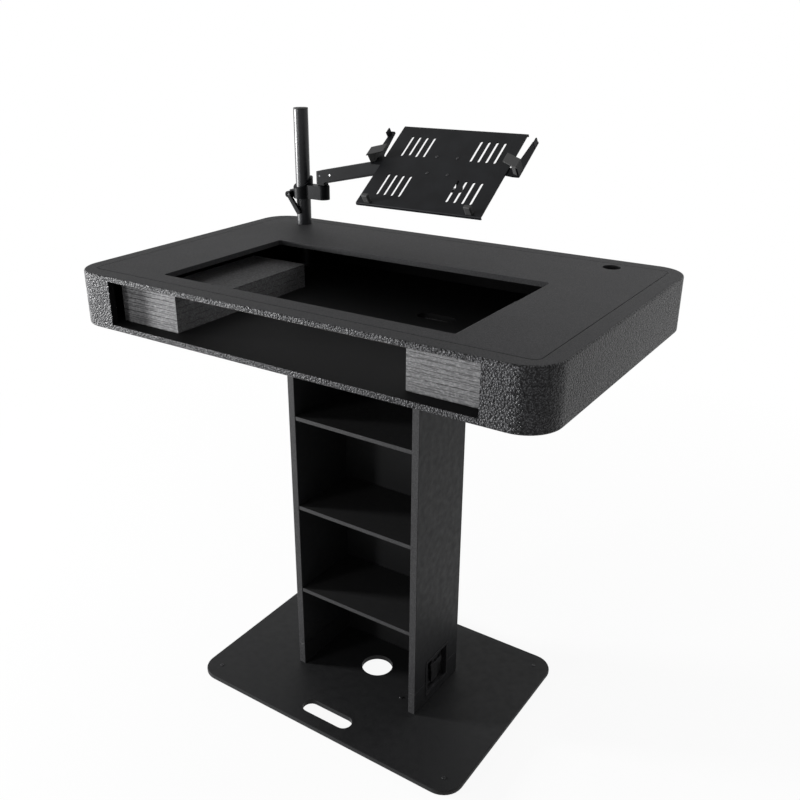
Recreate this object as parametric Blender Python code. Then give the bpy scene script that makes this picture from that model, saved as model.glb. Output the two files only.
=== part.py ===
"""A podium stand for a disc jockey: a coated table with a rack bay in its front, a shelved
column held to a floor plate by recessed butterfly latches, and a mast whose sprung arm carries
a tilting device tray.

Metres, with x to the right, y to the back and z up. The origin is on the floor, under the middle
of the table.
"""

import math

import bmesh
import bpy
from mathutils import Matrix, Vector

# Table: a shallow box of boards with a lift-out panel in its top
TABLE_WIDTH = 1.060
TABLE_DEPTH = 0.672
TABLE_TOP = 1.015
TABLE_HEIGHT = 0.113
TABLE_CORNER = 0.065
TABLE_FILLET = 0.004
FLOOR_BOARD = 0.0127
RIM_BOARD = 0.0105
WALL_BOARD = 0.015
RIM_WIDTH = 0.034
PANEL_CORNER = 0.015
PANEL_SEAM = 0.0006
LEDGE_HEIGHT = 0.012
LEDGE_UNDER_RIM = 0.005
LEDGE_UNDER_PANEL = 0.010

# Rack bay in the front wall, with a foam block at each end
BAY_MARGIN = 0.112
FOAM_WIDTH = 0.153
FOAM_RECESS = 0.034
FOAM_FRONT_WALL = 0.038
FOAM_SEAT_HEIGHT = 0.053
FOAM_CUT_PITCH = 0.0125
FOAM_CUT_WIDTH = 0.0012
FOAM_CUT_DEPTH = 0.0016

# Equipment cut-out in the top panel
CUT_OUT_WIDTH = 0.668
CUT_OUT_DEPTH = 0.361
CUT_OUT_CORNER = 0.006
CUT_OUT_FROM_SEAM = 0.0395

# Column of boards
COLUMN_WIDTH = 0.334
COLUMN_DEPTH = 0.190
SIDE_BOARD = 0.017
BACK_BOARD = 0.006
SHELF_BOARD = 0.009
SHELF_COUNT = 3
SHELF_NOTCH_WIDTH = 0.090
SHELF_NOTCH_DEPTH = 0.018
CABLE_SLOT_LENGTH = 0.086
CABLE_SLOT_WIDTH = 0.034
CABLE_SLOT_INSET = 0.004
PLINTH_HEIGHT = 0.0575

# Floor plate
BASE_WIDTH = 0.712
BASE_DEPTH = 0.514
BASE_BOARD = 0.012
BASE_CORNER = 0.048
BASE_FILLET = 0.003
CABLE_HOLE = 0.075
HAND_SLOT_LENGTH = 0.132
HAND_SLOT_WIDTH = 0.040
HAND_SLOT_FROM_FRONT = 0.052
FOOT_HEIGHT = 0.008
FOOT_DIAMETER = 0.036
FOOT_INSET = 0.040

# Butterfly latches, one on each side of the column, across the seam above the plinth
LATCH_WIDTH = 0.098
LATCH_ABOVE_SEAM = 0.060
LATCH_BELOW_SEAM = 0.037
LATCH_DEPTH = 0.0139
LATCH_SHEET = 0.0012
LATCH_FLANGE = 0.006
LATCH_CORNER = 0.007
LATCH_PIVOT_ABOVE_SEAM = 0.0262
WING_REACH = 0.0235
WING_HALF_HEIGHT = 0.011
WING_THICKNESS = 0.0042
HOOK_WIDTH = 0.026
HOOK_SHEET = 0.003
HOOK_TOOTH = 0.006
HOOK_STROKE = 0.006
RIDGE_RISE = 0.004
RIDGE_THICKNESS = 0.0035
RIDGE_BELOW_SEAM = 0.0165
SPINDLE_DIAMETER = 0.008

# Mast and its sockets
MAST_DIAMETER = 0.035
MAST_WALL = 0.002
MAST_ABOVE_TABLE = 0.273
MAST_FROM_SIDE_SEAM = 0.096
SPARE_FROM_SIDE_SEAM = 0.108
MAST_BACK_FROM_SEAM = 0.0125
SOCKET_HEIGHT = 0.072
SOCKET_WALL = 0.003
SOCKET_FLANGE = 0.012
SOCKET_FLANGE_HEIGHT = 0.004
CAP_HEIGHT = 0.003

# Collar on the mast, with its clamping lever and its link
COLLAR_ABOVE_TABLE = 0.0635
COLLAR_HEIGHT = 0.0375
COLLAR_WALL = 0.006
COLLAR_SLOPE = (0.22, 0.50)
LINK_REACH = 0.062
LINK_HEIGHT = 0.033
LINK_RADIUS = 0.0150
PIVOT_DIAMETER = 0.014
LEVER_LENGTH = 0.050
LEVER_THICKNESS = 0.0075
LEVER_ANGLE = -53.0
LUG_BOLT_FROM_RING = 0.0044
LUG_HALF_WIDTH = 0.0125
LUG_FOOT = 0.0006
LUG_HEIGHT = 0.0170
SLIT_WIDTH = 0.0028
BOLT_DIAMETER = 0.006

# Sprung arm: two nested channels that make a parallelogram
ARM_LENGTH = 0.245
ARM_RISE = 12.0
ARM_WIDTH = 0.030
ARM_SHEET = 0.0025
ARM_ABOVE_PIN = 0.012
ARM_BELOW_PIN = 0.0165
ARM_END = 0.012
ARM_END_CORNER = 0.006
SKIRT_BELOW_PIN = 0.0195
SKIRT_FRONT = 0.009
PIN_SPACING = 0.013
PIN_DIAMETER = 0.005
ARM_PIN_ABOVE_LINK = 0.0256
LOWER_WIDTH = 0.0242
LOWER_SHEET = 0.0029
LOWER_ABOVE_PIN = 0.0045
LOWER_BELOW_PIN = 0.007
TONGUE_WIDTH = 0.0178
TONGUE_RADIUS = 0.0085
KNUCKLE_DIAMETER = 0.028
BOSS_BELOW_CHANNEL = 0.003
SPRING_DIAMETER = 0.013
SPRING_ROD = 0.006
SPRING_BELOW_PIN = 0.0025
SPRING_FROM_KNUCKLE = 0.030
SPRING_FROM_HEAD = 0.034

# Head at the end of the arm, with its yoke and tilting plate
HEAD_REACH = 0.032
HEAD_DIAMETER = 0.030
HEAD_BELOW_PIN = 0.024
HEAD_PIVOT = 0.012
SPIGOT_HEIGHT = 0.020
YOKE_SIDE_REACH = 0.1098
YOKE_FRONT_REACH = 0.0682
YOKE_PLATE = 0.006
YOKE_BELOW_HEAD = 0.020
EAR_THICKNESS = 0.006
EAR_GAP = 0.050
TILT_PIN_DIAMETER = 0.008
TILT_PIN_ABOVE_HEAD = 0.006
BARREL_RADIUS = 0.0085
TILT_ANGLE = 35.5
PLATE_STAND_OFF = 0.036
PLATE_DIAMETER = 0.084
PLATE_SHEET = 0.003

# Device tray
TRAY_WIDTH = 0.294
TRAY_FRONT = 0.1295
TRAY_BACK = 0.105
TRAY_SHEET = 0.0026
TRAY_FLANGE = 0.004
VENT_LENGTH = 0.060
VENT_WIDTH = 0.006
VENT_PITCH = 0.018
VENT_COUNT = 4
VENT_INSET = 0.014
VENT_FROM_EDGE = 0.060
STOP_WIDTH = 0.016
STOP_DEPTH = 0.009
STOP_HEIGHT = 0.019
STOP_INSET = 0.019
STOP_FROM_FRONT = 0.0032
CLAMP_REACH = 0.176
CLAMP_INNER = 0.068
CLAMP_BAR_WIDTH = 0.020
CLAMP_SHEET = 0.0026
CLAMP_RISE = 0.0195
CLAMP_SLOT_LENGTH = 0.060
CLAMP_SLOT_WIDTH = 0.007
JAW_LENGTH = 0.024
JAW_DEPTH = 0.010
JAW_LIP = 0.003
JAW_HOLD = 0.032
JAW_SLANT = 0.42
FINGER_BACK = 0.088
FINGER_LENGTH = 0.018

# Clearance between pieces that seat on each other, and round pieces that turn in a hole
GAP = 0.0003
RUNNING = 0.0006

# Softening of a board's edges, the flats that round a board's edge, and how far a cutter passes a face
SOFT_EDGE = 0.0008
EDGE_STEPS = 2
PAST = 0.002

# Places worked out from the sizes
BASE_TOP = FOOT_HEIGHT + BASE_BOARD
SEAM_HEIGHT = BASE_TOP + PLINTH_HEIGHT
TABLE_UNDERSIDE = TABLE_TOP - TABLE_HEIGHT
HOLLOW_FLOOR = TABLE_UNDERSIDE + FLOOR_BOARD
HOLLOW_ROOF = TABLE_TOP - RIM_BOARD
PANEL_WIDTH = TABLE_WIDTH - 2 * RIM_WIDTH
PANEL_DEPTH = TABLE_DEPTH - 2 * RIM_WIDTH
BAY_HALF = TABLE_WIDTH / 2 - BAY_MARGIN
LEDGE_BOTTOM = HOLLOW_ROOF - GAP - LEDGE_HEIGHT
COLUMN_HALF = COLUMN_WIDTH / 2
MAST_X = -(PANEL_WIDTH / 2 - MAST_FROM_SIDE_SEAM)
MAST_Y = PANEL_DEPTH / 2 - MAST_BACK_FROM_SEAM - MAST_DIAMETER / 2
MAST_HOLE = MAST_DIAMETER + 2 * RUNNING
COLLAR_RADIUS = MAST_DIAMETER / 2 + RUNNING + COLLAR_WALL
LUG_REACH = COLLAR_RADIUS + LUG_BOLT_FROM_RING
SPARE_X = PANEL_WIDTH / 2 - SPARE_FROM_SIDE_SEAM
COLLAR_BOTTOM = TABLE_TOP + COLLAR_ABOVE_TABLE
LINK_TOP = COLLAR_BOTTOM + LINK_HEIGHT
KNUCKLE_X = MAST_X + LINK_REACH
UPPER_PIN = Vector((KNUCKLE_X, MAST_Y, LINK_TOP + ARM_PIN_ABOVE_LINK))
LOWER_PIN = UPPER_PIN - Vector((0, 0, PIN_SPACING))
ARM_SLOPE = math.radians(ARM_RISE)
HEAD_PIN = UPPER_PIN + ARM_LENGTH * Vector((math.cos(ARM_SLOPE), 0, math.sin(ARM_SLOPE)))
HEAD_X = HEAD_PIN.x + HEAD_REACH
HEAD_BOTTOM = HEAD_PIN.z - HEAD_BELOW_PIN
YOKE_BOTTOM = HEAD_BOTTOM - YOKE_BELOW_HEAD
TILT_PIN = Vector((HEAD_X + YOKE_SIDE_REACH, MAST_Y - YOKE_FRONT_REACH,
                   HEAD_BOTTOM + TILT_PIN_ABOVE_HEAD))
LATCH_PIVOT = SEAM_HEIGHT + LATCH_PIVOT_ABOVE_SEAM


# Outlines are lists of points on a plane, drawn anticlockwise

def circle(centre, radius, steps=32):
    """Points evenly round a circle."""
    turn = math.tau / steps
    return [(centre[0] + radius * math.cos(i * turn), centre[1] + radius * math.sin(i * turn))
            for i in range(steps)]


def filleted(corners, steps=6):
    """An outline through corners (x, y, radius), each rounded by an arc of its radius."""
    outline = []
    count = len(corners)
    for index, (x, y, radius) in enumerate(corners):
        corner = Vector((x, y))
        if radius <= 0:
            outline.append((x, y))
            continue
        before = (Vector(corners[index - 1][:2]) - corner).normalized()
        after = (Vector(corners[(index + 1) % count][:2]) - corner).normalized()
        half = before.angle(after) / 2
        centre = corner + (before + after).normalized() * (radius / math.sin(half))
        start = corner + before * (radius / math.tan(half)) - centre
        sweep = (math.pi - 2 * half) * (1 if before.cross(after) < 0 else -1)
        for step in range(steps + 1):
            spoke = Matrix.Rotation(sweep * step / steps, 2) @ start
            outline.append((centre.x + spoke.x, centre.y + spoke.y))
    return outline


def rounded_rectangle(width, depth, radius, centre=(0, 0), steps=6):
    """A rectangle about its centre with four rounded corners."""
    x, y = centre
    right, left = x + width / 2, x - width / 2
    back, front = y + depth / 2, y - depth / 2
    corners = ((right, back), (left, back), (left, front), (right, front))
    return filleted([(across, along, radius) for across, along in corners], steps)


# Solids are closed meshes made from outlines, turned profiles and boxes

def raised(outline, low, high, holes=()):
    """A solid with upright walls, from an outline and its holes."""
    return layered([(outline, low), (outline, high)], [[(hole, low), (hole, high)] for hole in holes])


def layered(wall, holes=()):
    """A solid whose walls are rows of (outline, height), with both ends filled."""
    mesh = bmesh.new()
    ends = ([], [])
    for rows in (wall, *holes):
        loops = [[mesh.verts.new((x, y, height)) for x, y in outline] for outline, height in rows]
        for below, above in zip(loops, loops[1:]):
            for i in range(len(below)):
                j = (i + 1) % len(below)
                mesh.faces.new((below[i], below[j], above[j], above[i]))
        for edges, loop in zip(ends, (loops[0], loops[-1])):
            pairs = zip(loop, loop[1:] + loop[:1])
            edges.extend(mesh.edges.get(pair) for pair in pairs)
    for edges in ends:
        bmesh.ops.triangle_fill(mesh, use_beauty=True, edges=edges)
    bmesh.ops.recalc_face_normals(mesh, faces=mesh.faces[:])
    return mesh


def rounded_board(width, depth, corner, low, high, fillet_low=0.0, fillet_high=0.0, holes=(), steps=8):
    """A board with rounded corners and rounded lower and upper edges; each hole is an outline."""
    turns = [math.pi / 2 * step / EDGE_STEPS for step in range(EDGE_STEPS + 1)]
    below = [(fillet_low * (1 - math.sin(turn)), low + fillet_low * (1 - math.cos(turn))) for turn in turns]
    above = [(fillet_high * (1 - math.cos(turn)), high - fillet_high * (1 - math.sin(turn)))
             for turn in turns]
    if fillet_low == 0:
        below = below[-1:]
    if fillet_high == 0:
        above = above[:1]
    rows = [(rounded_rectangle(width - 2 * inset, depth - 2 * inset, corner - inset, steps=steps), height)
            for inset, height in below + above]
    return layered(rows, [[(hole, low), (hole, high)] for hole in holes])


def turned(profile, steps=32):
    """A solid of revolution about z, from a closed profile of (radius, height)."""
    mesh = bmesh.new()
    points = [mesh.verts.new((radius, 0, height)) for radius, height in profile]
    edges = [mesh.edges.new(pair) for pair in zip(points, points[1:] + points[:1])
             if pair[0].co.x > 0 or pair[1].co.x > 0]
    bmesh.ops.spin(mesh, geom=points + edges, cent=(0, 0, 0), axis=(0, 0, 1), angle=math.tau,
                   steps=steps, use_merge=True)
    bmesh.ops.remove_doubles(mesh, verts=mesh.verts[:], dist=1e-6)
    bmesh.ops.recalc_face_normals(mesh, faces=mesh.faces[:])
    return mesh


def box(low, high):
    """A plain box between two corners."""
    mesh = bmesh.new()
    size = Vector(high) - Vector(low)
    middle = (Vector(high) + Vector(low)) / 2
    place = Matrix.Translation(middle) @ Matrix.Diagonal((*size, 1))
    bmesh.ops.create_cube(mesh, size=1, matrix=place)
    return mesh


def along_x(mesh):
    """Turn a solid drawn on the floor so that its outline stands on y and z."""
    bmesh.ops.transform(mesh, matrix=Matrix(((0, 0, 1, 0), (1, 0, 0, 0), (0, 1, 0, 0), (0, 0, 0, 1))),
                        verts=mesh.verts[:])
    return mesh


def along_y(mesh):
    """Turn a solid drawn on the floor so that its outline stands on x and z."""
    bmesh.ops.transform(mesh, matrix=Matrix(((1, 0, 0, 0), (0, 0, 1, 0), (0, 1, 0, 0), (0, 0, 0, 1))),
                        verts=mesh.verts[:])
    bmesh.ops.recalc_face_normals(mesh, faces=mesh.faces[:])
    return mesh


def rod(start, end, radius, steps=24):
    """A round bar between two points."""
    axis = Vector(end) - Vector(start)
    mesh = bmesh.new()
    middle = (Vector(start) + Vector(end)) / 2
    place = Matrix.Translation(middle) @ axis.to_track_quat("Z", "Y").to_matrix().to_4x4()
    bmesh.ops.create_cone(mesh, cap_ends=True, segments=steps, radius1=radius, radius2=radius,
                          depth=axis.length, matrix=place)
    return mesh


def moved(mesh, matrix):
    """The same solid, put through a matrix."""
    bmesh.ops.transform(mesh, matrix=matrix, verts=mesh.verts[:])
    if matrix.determinant() < 0:
        bmesh.ops.reverse_faces(mesh, faces=mesh.faces[:])
    return mesh


# Objects, materials and the cuts and joins between solids

def material(name, colour, roughness, metallic=0.0):
    """A Principled material, made once."""
    made = bpy.data.materials.get(name)
    if made is None:
        made = bpy.data.materials.new(name)
        made.use_nodes = True
        shader = made.node_tree.nodes["Principled BSDF"]
        shader.inputs["Base Color"].default_value = (*colour, 1)
        shader.inputs["Roughness"].default_value = roughness
        shader.inputs["Metallic"].default_value = metallic
    return made


def add_object(name, solid, finish, pivot=(0, 0, 0)):
    """Put a solid into the scene as a named object whose origin is on its pivot."""
    bmesh.ops.translate(solid, vec=-Vector(pivot), verts=solid.verts[:])
    mesh = bpy.data.meshes.new(name)
    solid.to_mesh(mesh)
    solid.free()
    mesh.shade_smooth()
    mesh.set_sharp_from_angle(angle=math.radians(30))
    mesh.materials.append(finish(name))
    added = bpy.data.objects.new(name, mesh)
    added.location = pivot
    bpy.context.scene.collection.objects.link(added)
    return added


def combine(target, solid, operation):
    """Join a solid to an object, or cut it away, with a Boolean and a hidden helper."""
    count = len(target.modifiers) + 1
    helper_mesh = bpy.data.meshes.new(f"{target.name}_helper_{count}")
    solid.to_mesh(helper_mesh)
    solid.free()
    helper = bpy.data.objects.new(helper_mesh.name, helper_mesh)
    helper.hide_render = True
    helper.display_type = "WIRE"
    bpy.context.scene.collection.objects.link(helper)
    boolean = target.modifiers.new(f"{operation.lower()}_{count}", "BOOLEAN")
    boolean.operation = operation
    boolean.solver = "EXACT"
    boolean.object = helper


def cut(target, *solids):
    """Cut solids away from an object."""
    for solid in solids:
        combine(target, solid, "DIFFERENCE")


def join(target, *solids):
    """Join solids to an object."""
    for solid in solids:
        combine(target, solid, "UNION")


def soften(target):
    """Take the sharpness off a board's edges."""
    bevel = target.modifiers.new("softened_edges", "BEVEL")
    bevel.width = SOFT_EDGE
    bevel.segments = 1
    bevel.limit_method = "ANGLE"
    bevel.angle_limit = math.radians(40)


def coated_board(name):
    return material(name, (0.035, 0.035, 0.037), 0.62)


def laminate(name):
    return material(name, (0.022, 0.023, 0.024), 0.48)


def foam(name):
    return material(name, (0.17, 0.17, 0.175), 0.95)


def rubber(name):
    return material(name, (0.012, 0.012, 0.012), 0.8)


def black_metal(name):
    return material(name, (0.016, 0.017, 0.019), 0.38, 0.6)


def steel(name):
    return material(name, (0.45, 0.45, 0.46), 0.3, 1.0)


# Floor plate and feet

def stadium(length, width, centre):
    """A slot's outline, longer in x, with round ends."""
    return rounded_rectangle(length, width, width / 2 - 0.0002, centre)


def base_plate():
    hand_slot_y = -BASE_DEPTH / 2 + HAND_SLOT_FROM_FRONT
    hand_slot = stadium(HAND_SLOT_LENGTH, HAND_SLOT_WIDTH, (0, hand_slot_y))
    holes = (circle((0, 0), CABLE_HOLE / 2, 36), hand_slot)
    solid = rounded_board(BASE_WIDTH, BASE_DEPTH, BASE_CORNER, FOOT_HEIGHT + GAP, BASE_TOP,
                          BASE_FILLET, BASE_FILLET, holes)
    add_object("base_plate", solid, laminate)


def feet():
    """Rubber feet, each with a screw's recess in its underside."""
    radius = FOOT_DIAMETER / 2
    recess = 0.0045
    recess_roof = 0.003
    profile = [(0, recess_roof), (recess, recess_roof), (recess, 0), (radius - 0.0035, 0),
               (radius - 0.002, 0.001), (radius, FOOT_HEIGHT), (0, FOOT_HEIGHT)]
    for side, x in (("left", -1), ("right", 1)):
        for end, y in (("front", -1), ("back", 1)):
            place = Vector((x * (BASE_WIDTH / 2 - FOOT_INSET), y * (BASE_DEPTH / 2 - FOOT_INSET), 0))
            foot = moved(turned(profile, 20), Matrix.Translation(place))
            add_object(f"foot_{end}_{side}", foot, rubber, place)


# Column and plinth

def board(name, low, high):
    """A plain board between two corners, with softened edges."""
    added = add_object(name, box(low, high), laminate)
    soften(added)
    return added


def latch_pocket(side, low, high):
    """The pocket in a side board's outer face for one half of a latch."""
    outer = side * COLUMN_HALF
    inner = side * (COLUMN_HALF - LATCH_DEPTH - GAP)
    half = LATCH_WIDTH / 2 - LATCH_FLANGE + GAP
    across = sorted((inner, outer + side * PAST))
    return box((across[0], -half, low), (across[1], half, high))


def plinth():
    inner = COLUMN_HALF - SIDE_BOARD
    back = COLUMN_DEPTH / 2
    low, high = BASE_TOP + GAP, SEAM_HEIGHT
    for name, side in (("left", -1), ("right", 1)):
        across = sorted((side * inner, side * COLUMN_HALF))
        cheek = board(f"plinth_{name}", (across[0], -back, low), (across[1], back, high))
        floor = SEAM_HEIGHT - LATCH_BELOW_SEAM + LATCH_FLANGE - GAP
        cut(cheek, latch_pocket(side, floor, SEAM_HEIGHT + PAST))
    board("plinth_back", (-inner + GAP, back - BACK_BOARD, low), (inner - GAP, back, high))


def column():
    inner = COLUMN_HALF - SIDE_BOARD
    back = COLUMN_DEPTH / 2
    low, high = SEAM_HEIGHT + GAP, TABLE_UNDERSIDE - GAP
    for name, side in (("left", -1), ("right", 1)):
        across = sorted((side * inner, side * COLUMN_HALF))
        panel = board(f"column_{name}", (across[0], -back, low), (across[1], back, high))
        roof = SEAM_HEIGHT + LATCH_ABOVE_SEAM - LATCH_FLANGE + GAP
        cut(panel, latch_pocket(side, SEAM_HEIGHT - PAST, roof))
    board("column_back", (-inner + GAP, back - BACK_BOARD, low), (inner - GAP, back, high))


def shelves():
    """Shelves that part the column evenly, each with a cable notch at its back right corner."""
    half = COLUMN_HALF - SIDE_BOARD - GAP
    front = -COLUMN_DEPTH / 2 + 0.001
    back = COLUMN_DEPTH / 2 - BACK_BOARD - GAP
    clear = (TABLE_UNDERSIDE - BASE_TOP - SHELF_COUNT * SHELF_BOARD) / (SHELF_COUNT + 1)
    notch_x = half - SHELF_NOTCH_WIDTH
    outline = filleted([(half, front, 0), (half, back - SHELF_NOTCH_DEPTH, 0),
                        (notch_x, back - SHELF_NOTCH_DEPTH, 0.006), (notch_x, back, 0.003),
                        (-half, back, 0), (-half, front, 0)], 4)
    names = ["bottom", "middle", "top"]
    for index in range(SHELF_COUNT):
        low = BASE_TOP + clear * (index + 1) + SHELF_BOARD * index
        name = names[index] if index < len(names) else str(index + 1)
        shelf = add_object(f"shelf_{name}", raised(outline, low, low + SHELF_BOARD), laminate)
        soften(shelf)


# Latches

def mirrored(side):
    """The matrix that puts a piece of the right-hand latch on the given side."""
    return Matrix.Diagonal((side, 1, 1, 1))


def latch_tray(low, high, open_at_top):
    """One half of a recessed dish on the right-hand side, open towards the seam."""
    face = COLUMN_HALF
    half = LATCH_WIDTH / 2
    below, above = (LATCH_CORNER, 0) if open_at_top else (0, LATCH_CORNER)
    flange = filleted([(-half, low, below), (half, low, below), (half, high, above), (-half, high, above)], 5)
    well_half = half - LATCH_FLANGE
    sheet = LATCH_SHEET
    if open_at_top:
        well_low, well_high = low + LATCH_FLANGE, high
        hollow_low, hollow_high = well_low + sheet, well_high + PAST
    else:
        well_low, well_high = low, high - LATCH_FLANGE
        hollow_low, hollow_high = well_low - PAST, well_high - sheet
    plate = along_x(raised(flange, face + GAP, face + GAP + sheet))
    well = box((face - LATCH_DEPTH, -well_half, well_low), (face + GAP + sheet / 2, well_half, well_high))
    hollow = box((face - LATCH_DEPTH + sheet, -well_half + sheet, hollow_low),
                 (face + 2 * PAST, well_half - sheet, hollow_high))
    return plate, well, hollow


def latches():
    """Each latch has a dish, a strike with a ridge, a sliding hook under the ridge, and a handle."""
    face = COLUMN_HALF
    floor = face - LATCH_DEPTH + LATCH_SHEET
    ridge_top = floor + RIDGE_RISE
    hook_low, hook_high = ridge_top + GAP, ridge_top + GAP + HOOK_SHEET
    handle_low = hook_high + GAP
    handle_high = handle_low + WING_THICKNESS
    ridge = SEAM_HEIGHT - RIDGE_BELOW_SEAM
    ridge_half = HOOK_WIDTH / 2 - 0.001
    tooth_top = ridge - GAP
    tooth_low = tooth_top - HOOK_TOOTH
    hook_top = LATCH_PIVOT + 0.016
    slot_radius = SPINDLE_DIAMETER / 2 + RUNNING
    for name, side in (("left", -1), ("right", 1)):
        flip = mirrored(side)
        plate, well, hollow = latch_tray(SEAM_HEIGHT + 0.0005, SEAM_HEIGHT + LATCH_ABOVE_SEAM, False)
        dish = add_object(f"latch_dish_{name}", moved(plate, flip), black_metal)
        join(dish, moved(well, flip))
        cut(dish, moved(hollow, flip))
        plate, well, hollow = latch_tray(SEAM_HEIGHT - LATCH_BELOW_SEAM, SEAM_HEIGHT - 0.0005, True)
        strike = add_object(f"latch_strike_{name}", moved(plate, flip), black_metal)
        join(strike, moved(well, flip))
        cut(strike, moved(hollow, flip))
        lip = box((floor - 0.0005, -ridge_half, ridge), (ridge_top, ridge_half, ridge + RIDGE_THICKNESS))
        join(strike, moved(lip, flip))
        hook = along_x(raised(filleted([
            (-HOOK_WIDTH / 2, tooth_low, 0.003), (HOOK_WIDTH / 2, tooth_low, 0.003),
            (HOOK_WIDTH / 2, hook_top, 0.006), (-HOOK_WIDTH / 2, hook_top, 0.006)], 4),
            hook_low, hook_high))
        plate_hook = add_object(f"latch_hook_{name}", moved(hook, flip), steel)
        tooth = box((floor + RUNNING, -ridge_half, tooth_low + 0.001),
                    (hook_low + 0.001, ridge_half, tooth_top))
        join(plate_hook, moved(tooth, flip))
        slot_middle = LATCH_PIVOT + HOOK_STROKE / 2
        slot = along_x(raised(rounded_rectangle(2 * slot_radius, 2 * slot_radius + HOOK_STROKE,
                                                slot_radius - 0.0001, (0, slot_middle)),
                              hook_low - PAST, hook_high + PAST))
        cut(plate_hook, moved(slot, flip))
        pivot = (side * face, 0, LATCH_PIVOT)
        wings = along_x(raised(butterfly(), handle_low, handle_high))
        handle = add_object(f"latch_handle_{name}", moved(wings, flip), steel, pivot)
        spindle = rod((floor + GAP - face, 0, 0), (handle_low + 0.001 - face, 0, 0), SPINDLE_DIAMETER / 2, 20)
        join(handle, moved(moved(spindle, flip), Matrix.Translation(pivot)))


def butterfly():
    """The outline of the twin-winged latch handle, about its pivot."""
    reach, high, waist = WING_REACH, WING_HALF_HEIGHT, WING_HALF_HEIGHT * 0.62
    corners = [(reach, -high, 0.004), (reach, high, 0.004), (0, waist, 0.012),
               (-reach, high, 0.004), (-reach, -high, 0.004), (0, -waist, 0.012)]
    return [(x, z + LATCH_PIVOT) for x, z in filleted(corners, 4)]


# Table

def table_box():
    """The table's floor, its wall with the bay's mouth, and the rim round its top panel."""
    slot_y = COLUMN_DEPTH / 2 - BACK_BOARD - CABLE_SLOT_WIDTH / 2 - CABLE_SLOT_INSET
    slot_x = COLUMN_HALF - SIDE_BOARD - CABLE_SLOT_LENGTH / 2 - CABLE_SLOT_INSET
    cable_slot = stadium(CABLE_SLOT_LENGTH, CABLE_SLOT_WIDTH, (slot_x, slot_y))
    floor = rounded_board(TABLE_WIDTH, TABLE_DEPTH, TABLE_CORNER, TABLE_UNDERSIDE, HOLLOW_FLOOR,
                          TABLE_FILLET, 0, [cable_slot], 10)
    add_object("table_floor", floor, coated_board)
    rim = rounded_board(TABLE_WIDTH, TABLE_DEPTH, TABLE_CORNER, HOLLOW_ROOF, TABLE_TOP, 0, TABLE_FILLET,
                        [rounded_rectangle(PANEL_WIDTH, PANEL_DEPTH, PANEL_CORNER)], 10)
    add_object("table_rim", rim, coated_board)
    front = -TABLE_DEPTH / 2
    inner_half = TABLE_WIDTH / 2 - WALL_BOARD
    outer_half = TABLE_WIDTH / 2
    inner_corner = max(TABLE_CORNER - WALL_BOARD, 0.001)
    wall = filleted([
        (BAY_HALF, front, 0), (outer_half, front, TABLE_CORNER), (outer_half, -front, TABLE_CORNER),
        (-outer_half, -front, TABLE_CORNER), (-outer_half, front, TABLE_CORNER), (-BAY_HALF, front, 0),
        (-BAY_HALF, front + WALL_BOARD, 0), (-inner_half, front + WALL_BOARD, inner_corner),
        (-inner_half, -front - WALL_BOARD, inner_corner), (inner_half, -front - WALL_BOARD, inner_corner),
        (inner_half, front + WALL_BOARD, inner_corner), (BAY_HALF, front + WALL_BOARD, 0)], 10)
    add_object("table_wall", raised(wall, HOLLOW_FLOOR + GAP, HOLLOW_ROOF - GAP), coated_board)


def ledges():
    """Battens glued under the rim, on which the top panel lies."""
    outer_x = PANEL_WIDTH / 2 + LEDGE_UNDER_RIM
    inner_x = PANEL_WIDTH / 2 - LEDGE_UNDER_PANEL
    outer_y = PANEL_DEPTH / 2 + LEDGE_UNDER_RIM
    inner_y = PANEL_DEPTH / 2 - LEDGE_UNDER_PANEL
    low, high = LEDGE_BOTTOM, HOLLOW_ROOF - GAP
    for name, y in (("front", (-outer_y, -inner_y)), ("back", (inner_y, outer_y))):
        add_object(f"ledge_{name}", box((-inner_x, y[0], low), (inner_x, y[1], high)), laminate)
    for name, x in (("left", (-outer_x, -inner_x)), ("right", (inner_x, outer_x))):
        batten = box((x[0], -inner_y + GAP, low), (x[1], inner_y - GAP, high))
        add_object(f"ledge_{name}", batten, laminate)


def top_panel():
    """The lift-out panel, with the equipment cut-out and a mast hole at each back corner."""
    cut_out_y = -PANEL_DEPTH / 2 + CUT_OUT_FROM_SEAM + CUT_OUT_DEPTH / 2
    holes = [rounded_rectangle(CUT_OUT_WIDTH, CUT_OUT_DEPTH, CUT_OUT_CORNER, (0, cut_out_y)),
             circle((MAST_X, MAST_Y), MAST_HOLE / 2), circle((SPARE_X, MAST_Y), MAST_HOLE / 2)]
    solid = rounded_board(PANEL_WIDTH - 2 * PANEL_SEAM, PANEL_DEPTH - 2 * PANEL_SEAM,
                          PANEL_CORNER - PANEL_SEAM, HOLLOW_ROOF, TABLE_TOP, 0, SOFT_EDGE, holes)
    add_object("top_panel", solid, coated_board)


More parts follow.
